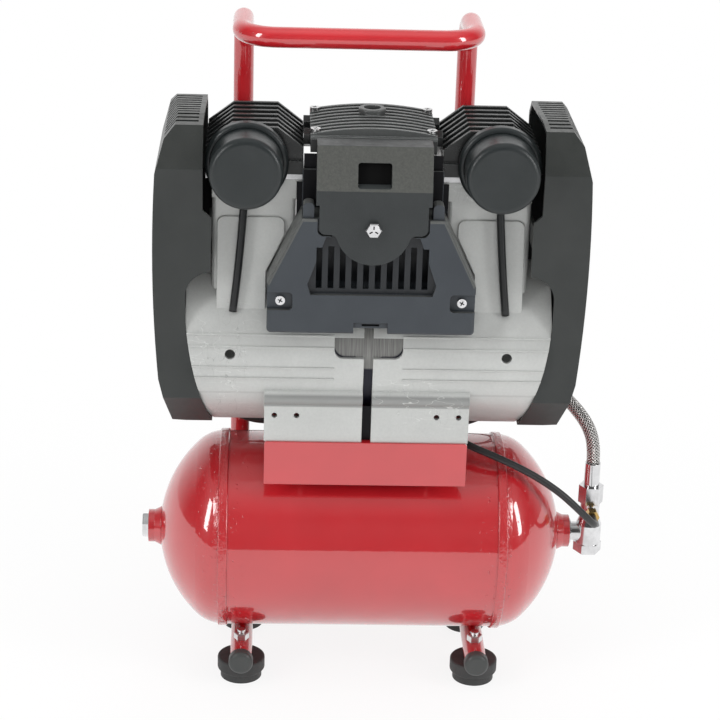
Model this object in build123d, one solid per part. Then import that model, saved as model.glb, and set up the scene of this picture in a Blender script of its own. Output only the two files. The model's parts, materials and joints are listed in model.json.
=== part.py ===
"""Portable twin-cylinder oil-free air compressor on a ten-litre tank.

Millimetres. +X runs along the tank, +Y to the back, +Z up. The origin is on the floor
under the middle of the tank. Heights of the pump's own pieces are measured from its shaft.
"""
from build123d import *
import math
import os

# Clearances
slip = 0.05
gap = 0.3
weld_sink = 1.0
hex_chamfer = 0.8

# Air tank
tank_r = 95.0
tank_wall = 3.0
barrel_len = 265.0
dish_depth = 63.0
knuckle_r = 38.0
seam_w = 9.0
seam_h = 1.6
socket_r = 16.0
socket_collar = 2.5
socket_reach = 11.0
socket_inside = 6.0
socket_bore = 9.0
plug_af = 22.0
plug_head = 6.0

# Legs and feet
leg_r = 10.65
leg_wall = 2.0
leg_z = 29.35
leg_in = 18.5
leg_half = 78.0
cap_r = 11.8
cap_skirt = 6.0
cap_dome = 4.5
cap_plug = 9.0
foot_in = 24.0
foot_r = 23.0
foot_base_r = 20.0
foot_base_h = 8.0
foot_saddle = 2.5
foot_round = 2.0
foot_bolt_r = 4.0
foot_head_r = 8.0
foot_head_h = 4.0
foot_pocket = 6.0
foot_bolt_end = 3.0
nut_af = 13.0
nut_h = 6.5

# Handle
handle_r = 9.5
handle_wall = 1.6
handle_half = 106.3
handle_x = -13.4
handle_sink = 4.5
handle_front = -5.0
handle_rise = 287.5
handle_drop = 26.0
handle_bend = 32.0

# Saddle between tank and pump
saddle_rise = 31.0
saddle_y = 80.0
saddle_t = 3.0
rail_h = 43.0
saddle_half = 94.5
saddle_rear_half = 80.0
saddle_lip = 35.0
saddle_corner = 1.5
web_x = 60.0
web_t = 4.0
saddle_bolt_x = 75.0

# Pump housings
axis_rise = 77.0
drum_r = 80.0
drum_wall = 4.0
split_gap = 8.6
drum_end_x = 168.0
cyl_x = 107.0
column_half_x = 38.0
column_half_y = 50.0
column_wall = 7.0
column_top = 168.0
flange_in = 45.0
flange_t = 18.0
foot_half = 95.0
foot_wall = 6.0
foot_face_y = 78.0
foot_flange = 28.0
ridge_r = 8.0
ridge_z = -34.0
foot_hole_r = 2.65
foot_hole_z = -51.0
foot_hole_in = 65.0
foot_hole_pitch = 20.5
pad_low = 42.0
pad_top = 133.0
pad_top_y = 52.0
pad_low_y = 64.5
pad_edge = 5.0
pad_room = 1.5
pad_round = 7.0
casting_round = 4.0
notch_half = 31.5
notch_low = 7.0
notch_high = 26.0
notch_round = 8.0
rib_h = 1.0
rib_t = 1.6
rib_zs = (27.6, 16.8, -2.8, -13.7)
case_hole_x = 127.0
case_hole_z = 9.3
case_hole_r = 4.75

# Motor, shaft and cranks
stator_half = 45.0
stator_bore = 36.0
rotor_gap = 0.4
winding_len = 12.0
winding_r_in = 42.0
winding_r_out = 66.0
shaft_r = 10.0
shaft_half = 172.0
shaft_chamfer = 1.0
bearing_r = 21.0
bearing_w = 12.0
bulkhead_x = 60.0
bulkhead_t = 6.0
boss_wall = 6.0
shaft_room = 3.0
throw = 5.0
hub_r = 17.0
hub_w = 14.0
weight_r = 40.0
weight_t = 12.0
fan_r = 62.0
fan_hub_r = 22.0
fan_w = 14.0
fan_x = 152.0
fan_blades = 7
blade_t = 3.0
blade_pitch = 35.0

# Pistons and cylinders
bore_r = 27.5
liner_t = 3.0
liner_low = 63.0
liner_flange = 3.5
liner_flange_h = 4.0
crown = 24.0
skirt = 10.0
rod_w = 14.0
rod_shank = 12.0
rod_ring = 7.0
eccentric_r = 9.5
small_ring = 4.0
pin_r = 4.0
pin_half = 19.0
piston_top_gap = 1.0

# Heads and mufflers
plate_t = 5.0
head_half_x = 44.0
head_half_y = 50.0
head_base = 12.0
head_core = 8.0
head_core_in = 6.0
head_h = 42.0
head_flat = 20.5
head_shoulder = 24.0
fin_pitch = 14.5
fin_t = 4.0
fin_count = 7
head_bolt_x = 31.0
head_bolt_r = 3.0
head_bolt_head_r = 4.6
head_bolt_head_h = 5.0
head_bolt_room = 1.4
head_bolt_grip = 14.0
muffler_x = 114.0
muffler_z = 184.5
muffler_r = 37.8
muffler_rim = 10.0
muffler_floor = 5.0
muffler_rim_round = 3.5
muffler_cap_r = 33.0
muffler_cap_face_y = 95.0
muffler_cap_round = 6.0
muffler_wall = 2.5
filter_r = 26.0
filter_bore = 12.0
breather_r = 3.6
breather_top_x = 116.0
breather_top_y = 56.5
breather_bow_x = 119.0
breather_bow_y = 63.8
breather_bow_z = 97.0
breather_foot_x = 125.0
breather_foot_y = 66.5
breather_foot_z = 47.0

# Manifold between the heads
manifold_half = 57.0
manifold_front = 50.0
manifold_back = 45.0
manifold_low = 194.0
manifold_split = 206.0
manifold_side = 5.0
manifold_lid_t = 2.5
manifold_end = 10.0
manifold_fin_top = 216.0
manifold_fin_edge = 210.0
manifold_fin_pitch = 10.5
manifold_fin_t = 3.5
manifold_fin_count = 9
manifold_screw_x = 52.5
manifold_screw_y = 36.75
ring_r = 12.5
ring_bore = 8.0
ring_h = 4.5
ring_round = 1.5
ring_y = 10.5
fitting_af = 15.0
fitting_z = 200.0
fitting_y = 22.0

# Electrical box and shroud
box_face_y = 95.0
box_back_y = 60.0
box_half = 51.5
box_low = 158.0
box_top = 210.0
box_lean = 12.0
box_lean_z = 171.5
box_wall = 2.5
skirt_half = 48.5
skirt_low = 131.0
skirt_round = 6.0
tongue_r = 34.0
tongue_t = 4.0
tongue_room = 1.5
bolt_z = 137.0
bolt_af = 13.0
bolt_head = 5.5
bolt_r = 4.0
bolt_pad_r = 12.0
bolt_boss_r = 9.0
window_w = 30.0
window_h = 23.0
window_z = 185.0
window_depth = 8.0
window_floor = 1.6
window_rim = 3.0
window_round = 2.5
capacitor_r = 9.0
capacitor_len = 70.0
shroud_low = 37.0
shroud_half = 94.0
shroud_knee = 83.0
shroud_top = 145.0
shroud_top_half = 64.0
shroud_t = 8.0
shroud_wall = 3.0
shroud_pocket = 5.0
shroud_round = 4.0
shroud_bevel = 2.0
opening_low = 74.0
opening_half = 58.0
opening_side = 84.0
opening_slant = 3.0
lobe_half = 42.0
lobe_z = 129.0
slot_count = 10
slot_pitch = 10.6
slot_w = 5.4
slot_low = 79.0
slot_high = 119.0
shroud_screw_x = 82.0
shroud_screw_z = 67.5
screw_r = 2.5
screw_head_r = 4.4
screw_head_h = 3.0
screw_grip = 5.0
pocket_in = 11.0
pocket_half = 8.5
pocket_round = 4.0
pocket_boss_r = 8.0
clip_half = 15.5
clip_h = 5.5
clip_depth = 2.0
clip_slit_half = 8.0
clip_slit_h = 2.0
ear_in = 53.0
ear_out = 63.0
ear_h = 14.0
ear_t = 14.0
baffle_y = -57.0
baffle_top = 180.0

# Fan covers
cover_x = 197.8
cover_half_y = 75.0
cover_top = 223.0
cover_low = -70.5
cover_wall = 3.0
cover_in = 145.0
cover_top_in = 152.5
cover_step_z = 138.0
cover_foot_in = 143.0
edge_shoulder = 38.0
edge_bulge = 8.1
edge_bulge_drop = 12.0
edge_knee = 63.0
edge_inner = 87.0
brow_in = 21.5
brow_edge = 10.5
brow_drop = 14.0
cheek_edge = 2.2
cheek_drop = 45.0
belly_z = 93.0
waist_edge = 5.0
waist_z = -18.0
heel_edge = 16.8
heel_lift = 3.0
toe_half = 51.0
toe_lift = 2.0
taper_z = -36.0
crown_lean = 9.0
crown_lean_drop = 40.0
crown_front_drop = 1.5
crown_y = 30.0
crown_back_y = 60.0
crown_back_drop = 6.5
crown_heel_drop = 20.0
louvre_count = 11
louvre_pitch = 10.4
louvre_w = 4.4
louvre_front = -54.0
louvre_margin = 4.5
louvre_deep = 16.0
lug_z = 124.0
lug_h = 20.0
lug_y = 30.0
lug_screw_y = 38.0
side_slot_count = 9
side_slot_pitch = 12.0
side_slot_w = 5.0
side_slot_half = 48.0
side_slot_in = 5.0

# Check valve, hose and tubes
valve_reach = 20.0
valve_r = 9.5
valve_drop = 21.0
valve_body_r = 12.5
valve_body_h = 20.0
valve_taper_h = 8.0
valve_neck_r = 9.3
valve_washer_r = 12.5
valve_washer_t = 1.6
valve_hex_rise = 32.0
valve_hex_h = 18.0
valve_hex_af = 21.0
valve_cap_af = 24.0
valve_cap_h = 10.0
valve_port = 4.0
valve_port_r = 5.0
ferrule_r = 7.6
ferrule_h = 24.0
hose_r = 6.5
hose_rise = 17.0
hose_lead = 30.0
nut_rise = 25.0
brass_nut_af = 12.0
brass_nut_len = 9.0
tube_r = 3.5
lead_r = 3.5
elbow_x = 30.0
elbow_reach = 12.0
elbow_turn = 8.0
elbow_dip = 48.0
elbow_branch = 14.0
elbow_r = 6.8
port_aft = 3.0
port_rise = 62.0

# Control group behind the tank
block_half = 18.0
block_round = 1.5
outlet_socket_r = 14.0
outlet_socket_reach = 13.0
outlet_stub_r = 8.0
switch_rise = 30.0
switch_h = 76.0
switch_half_x = 32.0
switch_fore = 28.0
switch_aft = 34.0
switch_neck_r = 8.0
switch_round = 5.0
knob_r = 11.0
knob_h = 15.0
knob_bar = 7.0
knob_reach = 16.5
knob_stem_r = 3.0
knob_stem_len = 8.0
regulator_x = 54.0
regulator_r = 16.0
regulator_half = 20.0
regulator_neck = 8.0
regulator_knob_r = 15.0
regulator_knob_h = 28.0
dial_stem_r = 6.0
dial_stem_len = 10.0
flute_r = 2.2
flute_count = 12
flute_lift = 3.0
dial_round = 2.0
gauge_r = 20.0
gauge_len = 22.0
gauge_neck = 6.0
gauge_neck_len = 9.0
gauge_rim = 2.0
gauge_round = 3.0
coupler_r = 10.0
coupler_len = 30.0
coupler_bore = 5.9
coupler_depth = 14.0
safety_af = 14.0
safety_len = 26.0
safety_stem_r = 2.5
safety_wall = 6.0
ring_room = 3.0
ring_major = 11.0
ring_minor = 1.4
drain_y = 45.0
drain_socket_r = 9.0
drain_reach = 8.3
drain_body_r = 7.0
drain_body_len = 12.0
drain_stem_r = 3.5
tap_half = 13.0
tap_h = 7.0
tap_t = 6.0
drain_grip = 12.0
drain_stem_len = 8.0
gland_r = 6.0
gland_len = 6.0
foot_gland_y = 60.0
foot_gland_rise = 12.0
switch_gland_aft = 4.0
switch_gland_rise = 80.0

# Places that follow from the sizes
tank_z = leg_z + leg_r + tank_r - weld_sink
tank_tip = barrel_len / 2 + dish_depth
socket_face = tank_tip + socket_reach
leg_x = barrel_len / 2 - leg_in
foot_y = leg_half - foot_in
saddle_top = tank_z + tank_r + saddle_rise
saddle_low = saddle_top - rail_h
axis_z = saddle_top + axis_rise
foot_low = -axis_rise
handle_back = tank_r + handle_r - handle_sink
handle_top = axis_z + handle_rise
handle_low = tank_z - handle_drop
rod_len = column_top - piston_top_gap - crown - 2 * throw
breather_top_z = muffler_z - muffler_r
saddle_bolt_y = foot_face_y - foot_flange / 2
valve_x = socket_face + valve_reach
outlet_socket_end = tank_r + outlet_socket_reach
outlet_y = outlet_socket_end + block_half
switch_low = tank_z + switch_rise
switch_high = switch_low + switch_h
drain_top = tank_z - math.sqrt(tank_r**2 - drain_y**2) - drain_reach
drain_low = drain_top - drain_body_len

nodes = {}


def cyl_along_x(r, x0, x1, y=0.0, z=0.0):
    """Round bar along X."""
    return Pos((x0 + x1) / 2, y, z) * Rot(0, 90, 0) * Cylinder(r, abs(x1 - x0))


def cyl_along_y(r, y0, y1, x=0.0, z=0.0):
    """Round bar along Y."""
    return Pos(x, (y0 + y1) / 2, z) * Rot(90, 0, 0) * Cylinder(r, abs(y1 - y0))


def cyl_along_z(r, z0, z1, x=0.0, y=0.0):
    """Round bar along Z."""
    return Pos(x, y, (z0 + z1) / 2) * Cylinder(r, abs(z1 - z0))


def block(x0, x1, y0, y1, z0, z1):
    """Box between two corners."""
    return Pos((x0 + x1) / 2, (y0 + y1) / 2, (z0 + z1) / 2) * Box(abs(x1 - x0), abs(y1 - y0), abs(z1 - z0))


def outline(points):
    """Flat face inside straight edges."""
    return make_face(Polyline(*points, close=True))


def plate_xz(face, y0, y1):
    """Face drawn in X and Z, made solid from y0 to y1."""
    return extrude(Plane.XZ.offset(-y0) * face, amount=y1 - y0, dir=(0, 1, 0))


def plate_yz(face, x0, x1):
    """Face drawn in Y and Z, made solid from x0 to x1."""
    return extrude(Plane.YZ.offset(x0) * face, amount=x1 - x0, dir=(1, 0, 0))


def hexagon(across, length):
    """Hexagonal bar standing on the XY plane."""
    return extrude(RegularPolygon(across / 2, 6, major_radius=False), amount=length)


def both_sides(piece):
    """A right-hand piece and its left-hand mirror image."""
    return [mirror(piece, about=Plane.YZ), piece]


def four_corners(piece):
    """A piece and its mirror images across X and Y."""
    pair = both_sides(piece)
    return pair + [mirror(one, about=Plane.XZ) for one in pair]


def add(name, *pieces):
    """Keep the solids of one node."""
    nodes[name] = [solid for piece in pieces for solid in piece.solids()]


def add_pump(name, *pieces):
    """Keep the solids of one node of the pump, whose heights start at the shaft."""
    add(name, *[Pos(0, 0, axis_z) * piece for piece in pieces])


def bend_radii(points):
    """Largest arc at each corner of a route that its two runs allow."""
    radii = []
    for before, here, after in zip(points, points[1:], points[2:]):
        run_in = Vector(*here) - Vector(*before)
        run_out = Vector(*after) - Vector(*here)
        turn = math.radians(run_in.get_angle(run_out))
        radii.append(0.45 * min(run_in.length, run_out.length) / math.tan(turn / 2))
    return radii


def bent_tube(name, points, r):
    """Round tube along straight runs joined by tangent arcs."""
    radii = bend_radii(points)
    path = FilletPolyline(*points, radius=radii)
    section = Plane(origin=path @ 0, z_dir=path % 0) * Circle(r)
    tube = sweep(section, path=path)
    ideal = math.pi * r * r * path.length
    print(name, "radii", [round(one) for one in radii], "length", round(path.length))
    print(name, "volume share", round(tube.volume / ideal, 4))
    return tube


def dish_solid(r, depth, knuckle):
    """Dished tank end: a crown arc and a knuckle arc turned about X, bulging to +X."""
    across = r - knuckle
    crown_r = (depth**2 + across**2 - knuckle**2) / (2 * (depth - knuckle))
    slope = math.atan2(across, crown_r - depth)
    centre = Vector(depth - crown_r, 0)
    knuckle_mid = (math.pi / 2 + slope) / 2
    joint = Vector(knuckle * math.cos(slope), across + knuckle * math.sin(slope))
    bend = Vector(knuckle * math.cos(knuckle_mid), across + knuckle * math.sin(knuckle_mid))
    bulge = centre + Vector(crown_r * math.cos(slope / 2), crown_r * math.sin(slope / 2))
    edges = [
        Line((0, 0), (0, r)),
        ThreePointArc((0, r), bend, joint),
        ThreePointArc(joint, bulge, (depth, 0)),
        Line((depth, 0), (0, 0)),
    ]
    return revolve(make_face(edges), axis=Axis.X)


def tank():
    """Barrel, dished ends with weld beads, and weld sockets."""
    half = barrel_len / 2
    tip = tank_tip
    outer_dish = Pos(half, 0, tank_z) * dish_solid(tank_r, dish_depth, knuckle_r)
    inner_dish = Pos(half, 0, tank_z) * dish_solid(
        tank_r - tank_wall, dish_depth - tank_wall, knuckle_r - tank_wall
    )
    bead_out = cyl_along_x(tank_r + seam_h, half - seam_w / 2, half + seam_w / 2, z=tank_z)
    bead_out = fillet(bead_out.edges().filter_by(GeomType.CIRCLE), seam_h * 0.8)
    bead = bead_out - cyl_along_x(tank_r, half - seam_w, half, z=tank_z)
    bead -= cyl_along_x(tank_r - tank_wall / 2, half, half + seam_w, z=tank_z)
    end = outer_dish - inner_dish - cyl_along_x(socket_r, half, tip + seam_w, z=tank_z) + bead

    face_x = socket_face
    socket = cyl_along_x(socket_r, tip - socket_inside, face_x, z=tank_z)
    collar = Pos(tip, 0, tank_z) * Rot(0, 90, 0) * Cone(
        socket_r + 2 * socket_collar, socket_r, 4 * socket_collar
    )
    socket += collar - outer_dish
    socket -= cyl_along_x(socket_bore, tip - seam_w * 2, face_x + 1, z=tank_z)

    barrel = cyl_along_x(tank_r, -half, half, z=tank_z)
    barrel -= cyl_along_x(tank_r - tank_wall, -half, half, z=tank_z)
    outlet_hole = cyl_along_y(outlet_socket_r, 0, outlet_socket_end, z=tank_z)
    drain_hole = cyl_along_z(drain_socket_r, 0, tank_z, y=drain_y)
    barrel -= outlet_hole + drain_hole

    hollow = cyl_along_x(tank_r - tank_wall - socket_inside, -half, half, z=tank_z)
    outlet = outlet_hole - hollow - cyl_along_y(outlet_stub_r, 0, outlet_socket_end, z=tank_z)
    drain = cyl_along_z(drain_socket_r, drain_top, tank_z, y=drain_y) - hollow
    drain -= cyl_along_z(drain_body_r, 0, tank_z, y=drain_y)

    shank = cyl_along_x(socket_bore - slip, tip - socket_inside, face_x, z=tank_z)
    plug_hex = Pos(face_x, 0, tank_z) * Rot(0, 90, 0) * hexagon(plug_af, plug_head)
    plug = mirror(shank + chamfer(plug_hex.faces().sort_by(Axis.X)[-1].edges(), hex_chamfer), about=Plane.YZ)

    add("tank_barrel", barrel)
    add("tank_ends", *both_sides(end))
    add("tank_sockets", *both_sides(socket), outlet, drain)
    return plug


def legs():
    """Leg tubes across the tank, with end caps, rubber feet and their fasteners."""
    tank_form = cyl_along_x(tank_r, -barrel_len / 2, barrel_len / 2, z=tank_z)
    bolt_hole = cyl_along_z(foot_bolt_r + gap, 0, tank_z, x=leg_x, y=foot_y)
    tube = cyl_along_y(leg_r, -leg_half, leg_half, x=leg_x, z=leg_z) - tank_form
    tube -= cyl_along_y(leg_r - leg_wall, -leg_half, leg_half, x=leg_x, z=leg_z)
    tube -= bolt_hole + mirror(bolt_hole, about=Plane.XZ)

    cap = cyl_along_y(cap_r, leg_half, leg_half + cap_skirt + cap_dome, x=leg_x, z=leg_z)
    cap = fillet(cap.edges().sort_by(Axis.Y)[-1], cap_dome)
    cap += cyl_along_y(leg_r - leg_wall - slip, leg_half - cap_plug, leg_half, x=leg_x, z=leg_z)

    foot_top = leg_z - leg_r + foot_saddle
    foot = cyl_along_z(foot_base_r, 0, foot_base_h, x=leg_x, y=foot_y)
    flange = cyl_along_z(foot_r, foot_base_h, foot_top, x=leg_x, y=foot_y)
    foot += fillet(flange.edges().filter_by(GeomType.CIRCLE), foot_round)
    foot -= cyl_along_y(leg_r, 0, leg_half, x=leg_x, z=leg_z)
    foot -= cyl_along_z(foot_bolt_r + gap, 0, foot_top, x=leg_x, y=foot_y)
    foot -= cyl_along_z(foot_head_r + gap, 0, foot_pocket, x=leg_x, y=foot_y)

    tube_top = leg_z + leg_r
    bolt = cyl_along_z(foot_head_r, foot_pocket - foot_head_h, foot_pocket, x=leg_x, y=foot_y)
    bolt += cyl_along_z(foot_bolt_r, foot_pocket, tube_top + nut_h + foot_bolt_end, x=leg_x, y=foot_y)
    nut = Pos(leg_x, foot_y, tube_top) * hexagon(nut_af, nut_h)
    nut = chamfer(nut.faces().sort_by(Axis.Z)[-1].edges(), hex_chamfer)
    nut -= cyl_along_z(foot_bolt_r + slip, tube_top - 1, tube_top + nut_h + 1, x=leg_x, y=foot_y)

    add("leg_tubes", *both_sides(tube))
    add("leg_end_caps", *four_corners(cap))
    add("rubber_feet", *four_corners(foot))
    add("foot_fasteners", *four_corners(bolt), *four_corners(nut))


def handle():
    """Bent tube handle, welded to the back of the tank."""
    left = handle_x - handle_half
    right = handle_x + handle_half
    route = [
        (left, handle_back, handle_low),
        (left, handle_back, handle_top),
        (left, handle_front, handle_top),
        (right, handle_front, handle_top),
        (right, handle_back, handle_top),
        (right, handle_back, handle_low),
    ]
    path = FilletPolyline(*route, radius=handle_bend)
    ring = Circle(handle_r) - Circle(handle_r - handle_wall)
    tube = sweep(Plane(origin=path @ 0, z_dir=path % 0) * ring, path=path)
    tube -= cyl_along_x(tank_r, -barrel_len / 2, barrel_len / 2, z=tank_z)
    add("handle", tube)


def saddle():
    """Folded rails and webs that carry the pump on the tank."""
    tank_form = cyl_along_x(tank_r, -barrel_len / 2, barrel_len / 2, z=tank_z)
    inner_y = saddle_y - saddle_t
    deck = saddle_top - saddle_t

    def rail(half):
        face = outline([
            (-half, saddle_low),
            (half, saddle_low),
            (half, saddle_top - saddle_corner),
            (half - saddle_corner, saddle_top),
            (saddle_corner - half, saddle_top),
            (-half, saddle_top - saddle_corner),
        ])
        flat = half - saddle_corner
        lip = block(-flat, flat, -inner_y, saddle_lip - saddle_y, deck, saddle_top)
        folded = plate_xz(face, -saddle_y, -inner_y) + lip
        for x in (-saddle_bolt_x, saddle_bolt_x):
            folded -= cyl_along_z(screw_r + gap, deck - 1, saddle_top + 1, x=x, y=-saddle_bolt_y)
        return folded

    web = block(web_x - web_t / 2, web_x + web_t / 2, -inner_y, inner_y, saddle_low, deck) - tank_form
    add("saddle_front_rail", rail(saddle_half))
    add("saddle_rear_rail", mirror(rail(saddle_rear_half), about=Plane.XZ))
    add("saddle_webs", *both_sides(web))


def cover_inner_edge():
    """Front-view line where a housing ends and its fan cover starts, from the foot upward."""
    low = (cover_foot_in, cover_low)
    bulge = (drum_end_x - edge_bulge, -edge_bulge_drop)
    shoulder = (drum_end_x, edge_shoulder)
    knee = (drum_end_x, edge_knee)
    inner = (cover_in, edge_inner)
    diagonal = math.sqrt(0.5)
    corner = (
        cover_in + (drum_end_x - cover_in) * diagonal,
        edge_knee + (edge_inner - edge_knee) * diagonal,
    )
    return [
        ThreePointArc(low, bulge, shoulder),
        Line(shoulder, knee),
        ThreePointArc(knee, corner, inner),
    ]


def housing_limit():
    """Everything on the pump's side of the fan cover's edge, on the right."""
    bottom = -2 * drum_r
    above = column_top + 1
    edges = cover_inner_edge() + [
        Polyline((cover_in, edge_inner), (cover_in, above), (0, above), (0, bottom)),
        Polyline((0, bottom), (cover_foot_in, bottom), (cover_foot_in, cover_low)),
    ]
    return plate_xz(make_face(edges), -2 * drum_r, 2 * drum_r)


def breather(margin):
    """Breather tube from a muffler down to the pad on its housing, on the right."""
    route = [
        (breather_top_x, -breather_top_y, breather_top_z),
        (breather_bow_x, -breather_bow_y, breather_bow_z),
        (breather_foot_x, -breather_foot_y, breather_foot_z),
    ]
    return bent_tube("breather_tubes", route, breather_r + margin)


def front_pad():
    """Raised pad on the front of a cylinder column, running forward down to the drum."""
    pad_out = cyl_x + column_half_x - pad_edge
    pad_in = cyl_x - column_half_x + 2 * pad_edge
    inside = pad_edge - column_half_y
    beside = shroud_half + pad_room
    slope = (shroud_half - shroud_top_half) / (shroud_top - shroud_knee)
    slope_z = shroud_knee + (beside - pad_in) / slope
    face = outline([
        (beside, pad_low),
        (pad_out, pad_low),
        (pad_out, pad_top),
        (pad_in, pad_top),
        (pad_in, slope_z),
        (beside, shroud_knee),
    ])
    side = outline([(inside, pad_low), (-pad_low_y, pad_low), (-pad_top_y, pad_top), (inside, pad_top)])
    sheet = plate_xz(face, -2 * drum_r, 0)
    sheet = fillet(sheet.edges().filter_by(Axis.Y).group_by(Axis.Z)[-1], pad_round)
    return sheet & plate_yz(side, 0, 2 * cyl_x)


def housings():
    """Die-cast pump housings: drum, cylinder column, foot walls and bearing bulkhead."""
    start = split_gap / 2
    inner_r = drum_r - drum_wall
    drum = cyl_along_x(drum_r, start, drum_end_x)
    ribs = cyl_along_x(drum_r + rib_h, notch_half, drum_end_x)
    rib_rows = [block(notch_half, drum_end_x, -2 * drum_r, 0, z - rib_t / 2, z + rib_t / 2) for z in rib_zs]
    drum += ribs & Compound(rib_rows)
    column = block(cyl_x - column_half_x, cyl_x + column_half_x, -column_half_y, column_half_y, 0, column_top)
    column = fillet(column.edges().filter_by(Axis.Z), casting_round)
    flange_low = column_top - flange_t
    flange = block(
        cyl_x - flange_in, cyl_x + column_half_x, -column_half_y, column_half_y, flange_low, column_top
    )
    foot = block(start, foot_half, -foot_face_y, foot_face_y, foot_low, ridge_z)
    foot -= block(
        0, foot_half - foot_wall, foot_wall - foot_face_y, foot_face_y - foot_wall, foot_low - 1, ridge_z
    )
    ridge = cyl_along_x(ridge_r, start, foot_half, y=ridge_r - foot_face_y - foot_wall / 2, z=ridge_z)
    ledge_y = foot_flange - foot_face_y
    ledge = block(start, foot_half, -foot_face_y, ledge_y, foot_low, foot_low + foot_wall)
    solid = drum + column + flange + foot + front_pad()
    for piece in (ridge, ledge):
        solid += [piece, mirror(piece, about=Plane.XZ)]
    solid &= housing_limit()

    boss_end = bulkhead_x + bearing_w + boss_wall
    chamber_x = cyl_x - column_half_x + column_wall
    chamber_y = column_half_y - column_wall
    cuts = cyl_along_x(inner_r, 0, bulkhead_x)
    cuts += cyl_along_x(inner_r, bulkhead_x + bulkhead_t, drum_end_x + 1)
    cuts += block(chamber_x, cyl_x + column_half_x - drum_wall, -chamber_y, chamber_y, 0, liner_low)
    cuts += cyl_along_z(bore_r + liner_t + slip, liner_low - 1, column_top + 1, x=cyl_x)
    cuts += cyl_along_z(
        bore_r + liner_t + liner_flange + slip, column_top - liner_flange_h, column_top + 1, x=cyl_x
    )
    solid -= cuts
    solid += cyl_along_x(bearing_r + boss_wall, bulkhead_x, boss_end)
    solid -= cyl_along_x(bearing_r + slip, bulkhead_x, bulkhead_x + bearing_w)
    solid -= cyl_along_x(shaft_r + shaft_room, bulkhead_x, boss_end + 1)
    solid -= cyl_along_y(case_hole_r, -drum_r - 1, -inner_r / 2, x=case_hole_x, z=case_hole_z)

    notch = block(-notch_half, notch_half, -2 * drum_r, -drum_r / 2, notch_low, notch_high)
    solid -= fillet(notch.edges().filter_by(Axis.Y).group_by(Axis.Z)[0], notch_round)
    for x in (foot_hole_in, foot_hole_in + foot_hole_pitch):
        solid -= cyl_along_y(foot_hole_r, -foot_face_y - 1, -foot_face_y + foot_wall + 1, x=x, z=foot_hole_z)
    for x, y in ((sx * head_bolt_x, sy * fin_pitch * 2.5) for sx in (-1, 1) for sy in (-1, 1)):
        bolt_low = column_top - head_bolt_grip
        solid -= cyl_along_z(head_bolt_r + slip, bolt_low, column_top + 1, x=cyl_x + x, y=y)
    for y in (-lug_screw_y, lug_screw_y):
        solid -= cyl_along_x(screw_r + slip, cover_in - screw_grip, cover_in + 1, y=y, z=lug_z)
    solid -= cyl_along_y(
        screw_r + slip, -column_half_y - 1, screw_grip - column_half_y, x=shroud_screw_x, z=shroud_screw_z
    )
    for y in (-saddle_bolt_y, saddle_bolt_y):
        solid -= cyl_along_z(screw_r + gap, foot_low - 1, foot_low + foot_wall + 1, x=saddle_bolt_x, y=y)
    solid -= breather(slip)
    add_pump("housing_right", solid)
    add_pump("housing_left", mirror(solid, about=Plane.YZ))


def motor():
    """Stator, windings, bearings and the turning shaft with its cranks and fans."""
    inner_r = drum_r - drum_wall - slip
    stator = cyl_along_x(inner_r, -stator_half, stator_half)
    stator -= cyl_along_x(stator_bore, -stator_half, stator_half)
    winding = cyl_along_x(winding_r_out, stator_half, stator_half + winding_len)
    winding = fillet(winding.edges().filter_by(GeomType.CIRCLE), winding_len / 3)
    winding -= cyl_along_x(winding_r_in, stator_half, stator_half + winding_len)
    bearing = cyl_along_x(bearing_r, bulkhead_x, bulkhead_x + bearing_w)
    bearing -= cyl_along_x(shaft_r + slip, bulkhead_x, bulkhead_x + bearing_w)
    shaft = cyl_along_x(shaft_r, -shaft_half, shaft_half)
    shaft = chamfer(shaft.edges().filter_by(GeomType.CIRCLE), shaft_chamfer)
    core = cyl_along_x(stator_bore - rotor_gap, -stator_half, stator_half)
    core -= cyl_along_x(shaft_r + slip, -stator_half, stator_half)

    def crank(side, up):
        hub_half = hub_w / 2
        hub = cyl_along_x(hub_r, cyl_x - hub_half - gap, cyl_x + hub_half + gap, z=up * throw)
        sector = cyl_along_x(weight_r, cyl_x - hub_half - gap - weight_t, cyl_x - hub_half - gap)
        half_disc = block(0, 2 * cyl_x, -weight_r, weight_r, 0, -up * weight_r)
        weight = (sector & half_disc) + cyl_along_x(
            hub_r, cyl_x - hub_half - gap - weight_t, cyl_x - hub_half - gap
        )
        body = hub + weight
        body -= cyl_along_x(shaft_r + slip, 0, 2 * cyl_x)
        return body if side > 0 else mirror(body, about=Plane.YZ)

    hub = cyl_along_x(fan_hub_r, fan_x - fan_w / 2, fan_x + fan_w / 2)
    root = fan_hub_r - blade_t
    blade = Rot(0, 0, blade_pitch) * Box(fan_w, blade_t, fan_r - root)
    blade = Pos(fan_x, 0, (fan_r + root) / 2) * blade
    fan = hub + [blade.rotate(Axis.X, k * 360 / fan_blades) for k in range(fan_blades)]
    fan -= cyl_along_x(shaft_r + slip, 0, 2 * fan_x)

    add_pump("stator", stator)
    add_pump("windings", *both_sides(winding))
    add_pump("main_bearings", *both_sides(bearing))
    add_pump("shaft", shaft)
    add_pump("rotor_core", core)
    add_pump("cranks", crank(-1, 1), crank(1, -1))
    add_pump("fans", *both_sides(fan))


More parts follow.
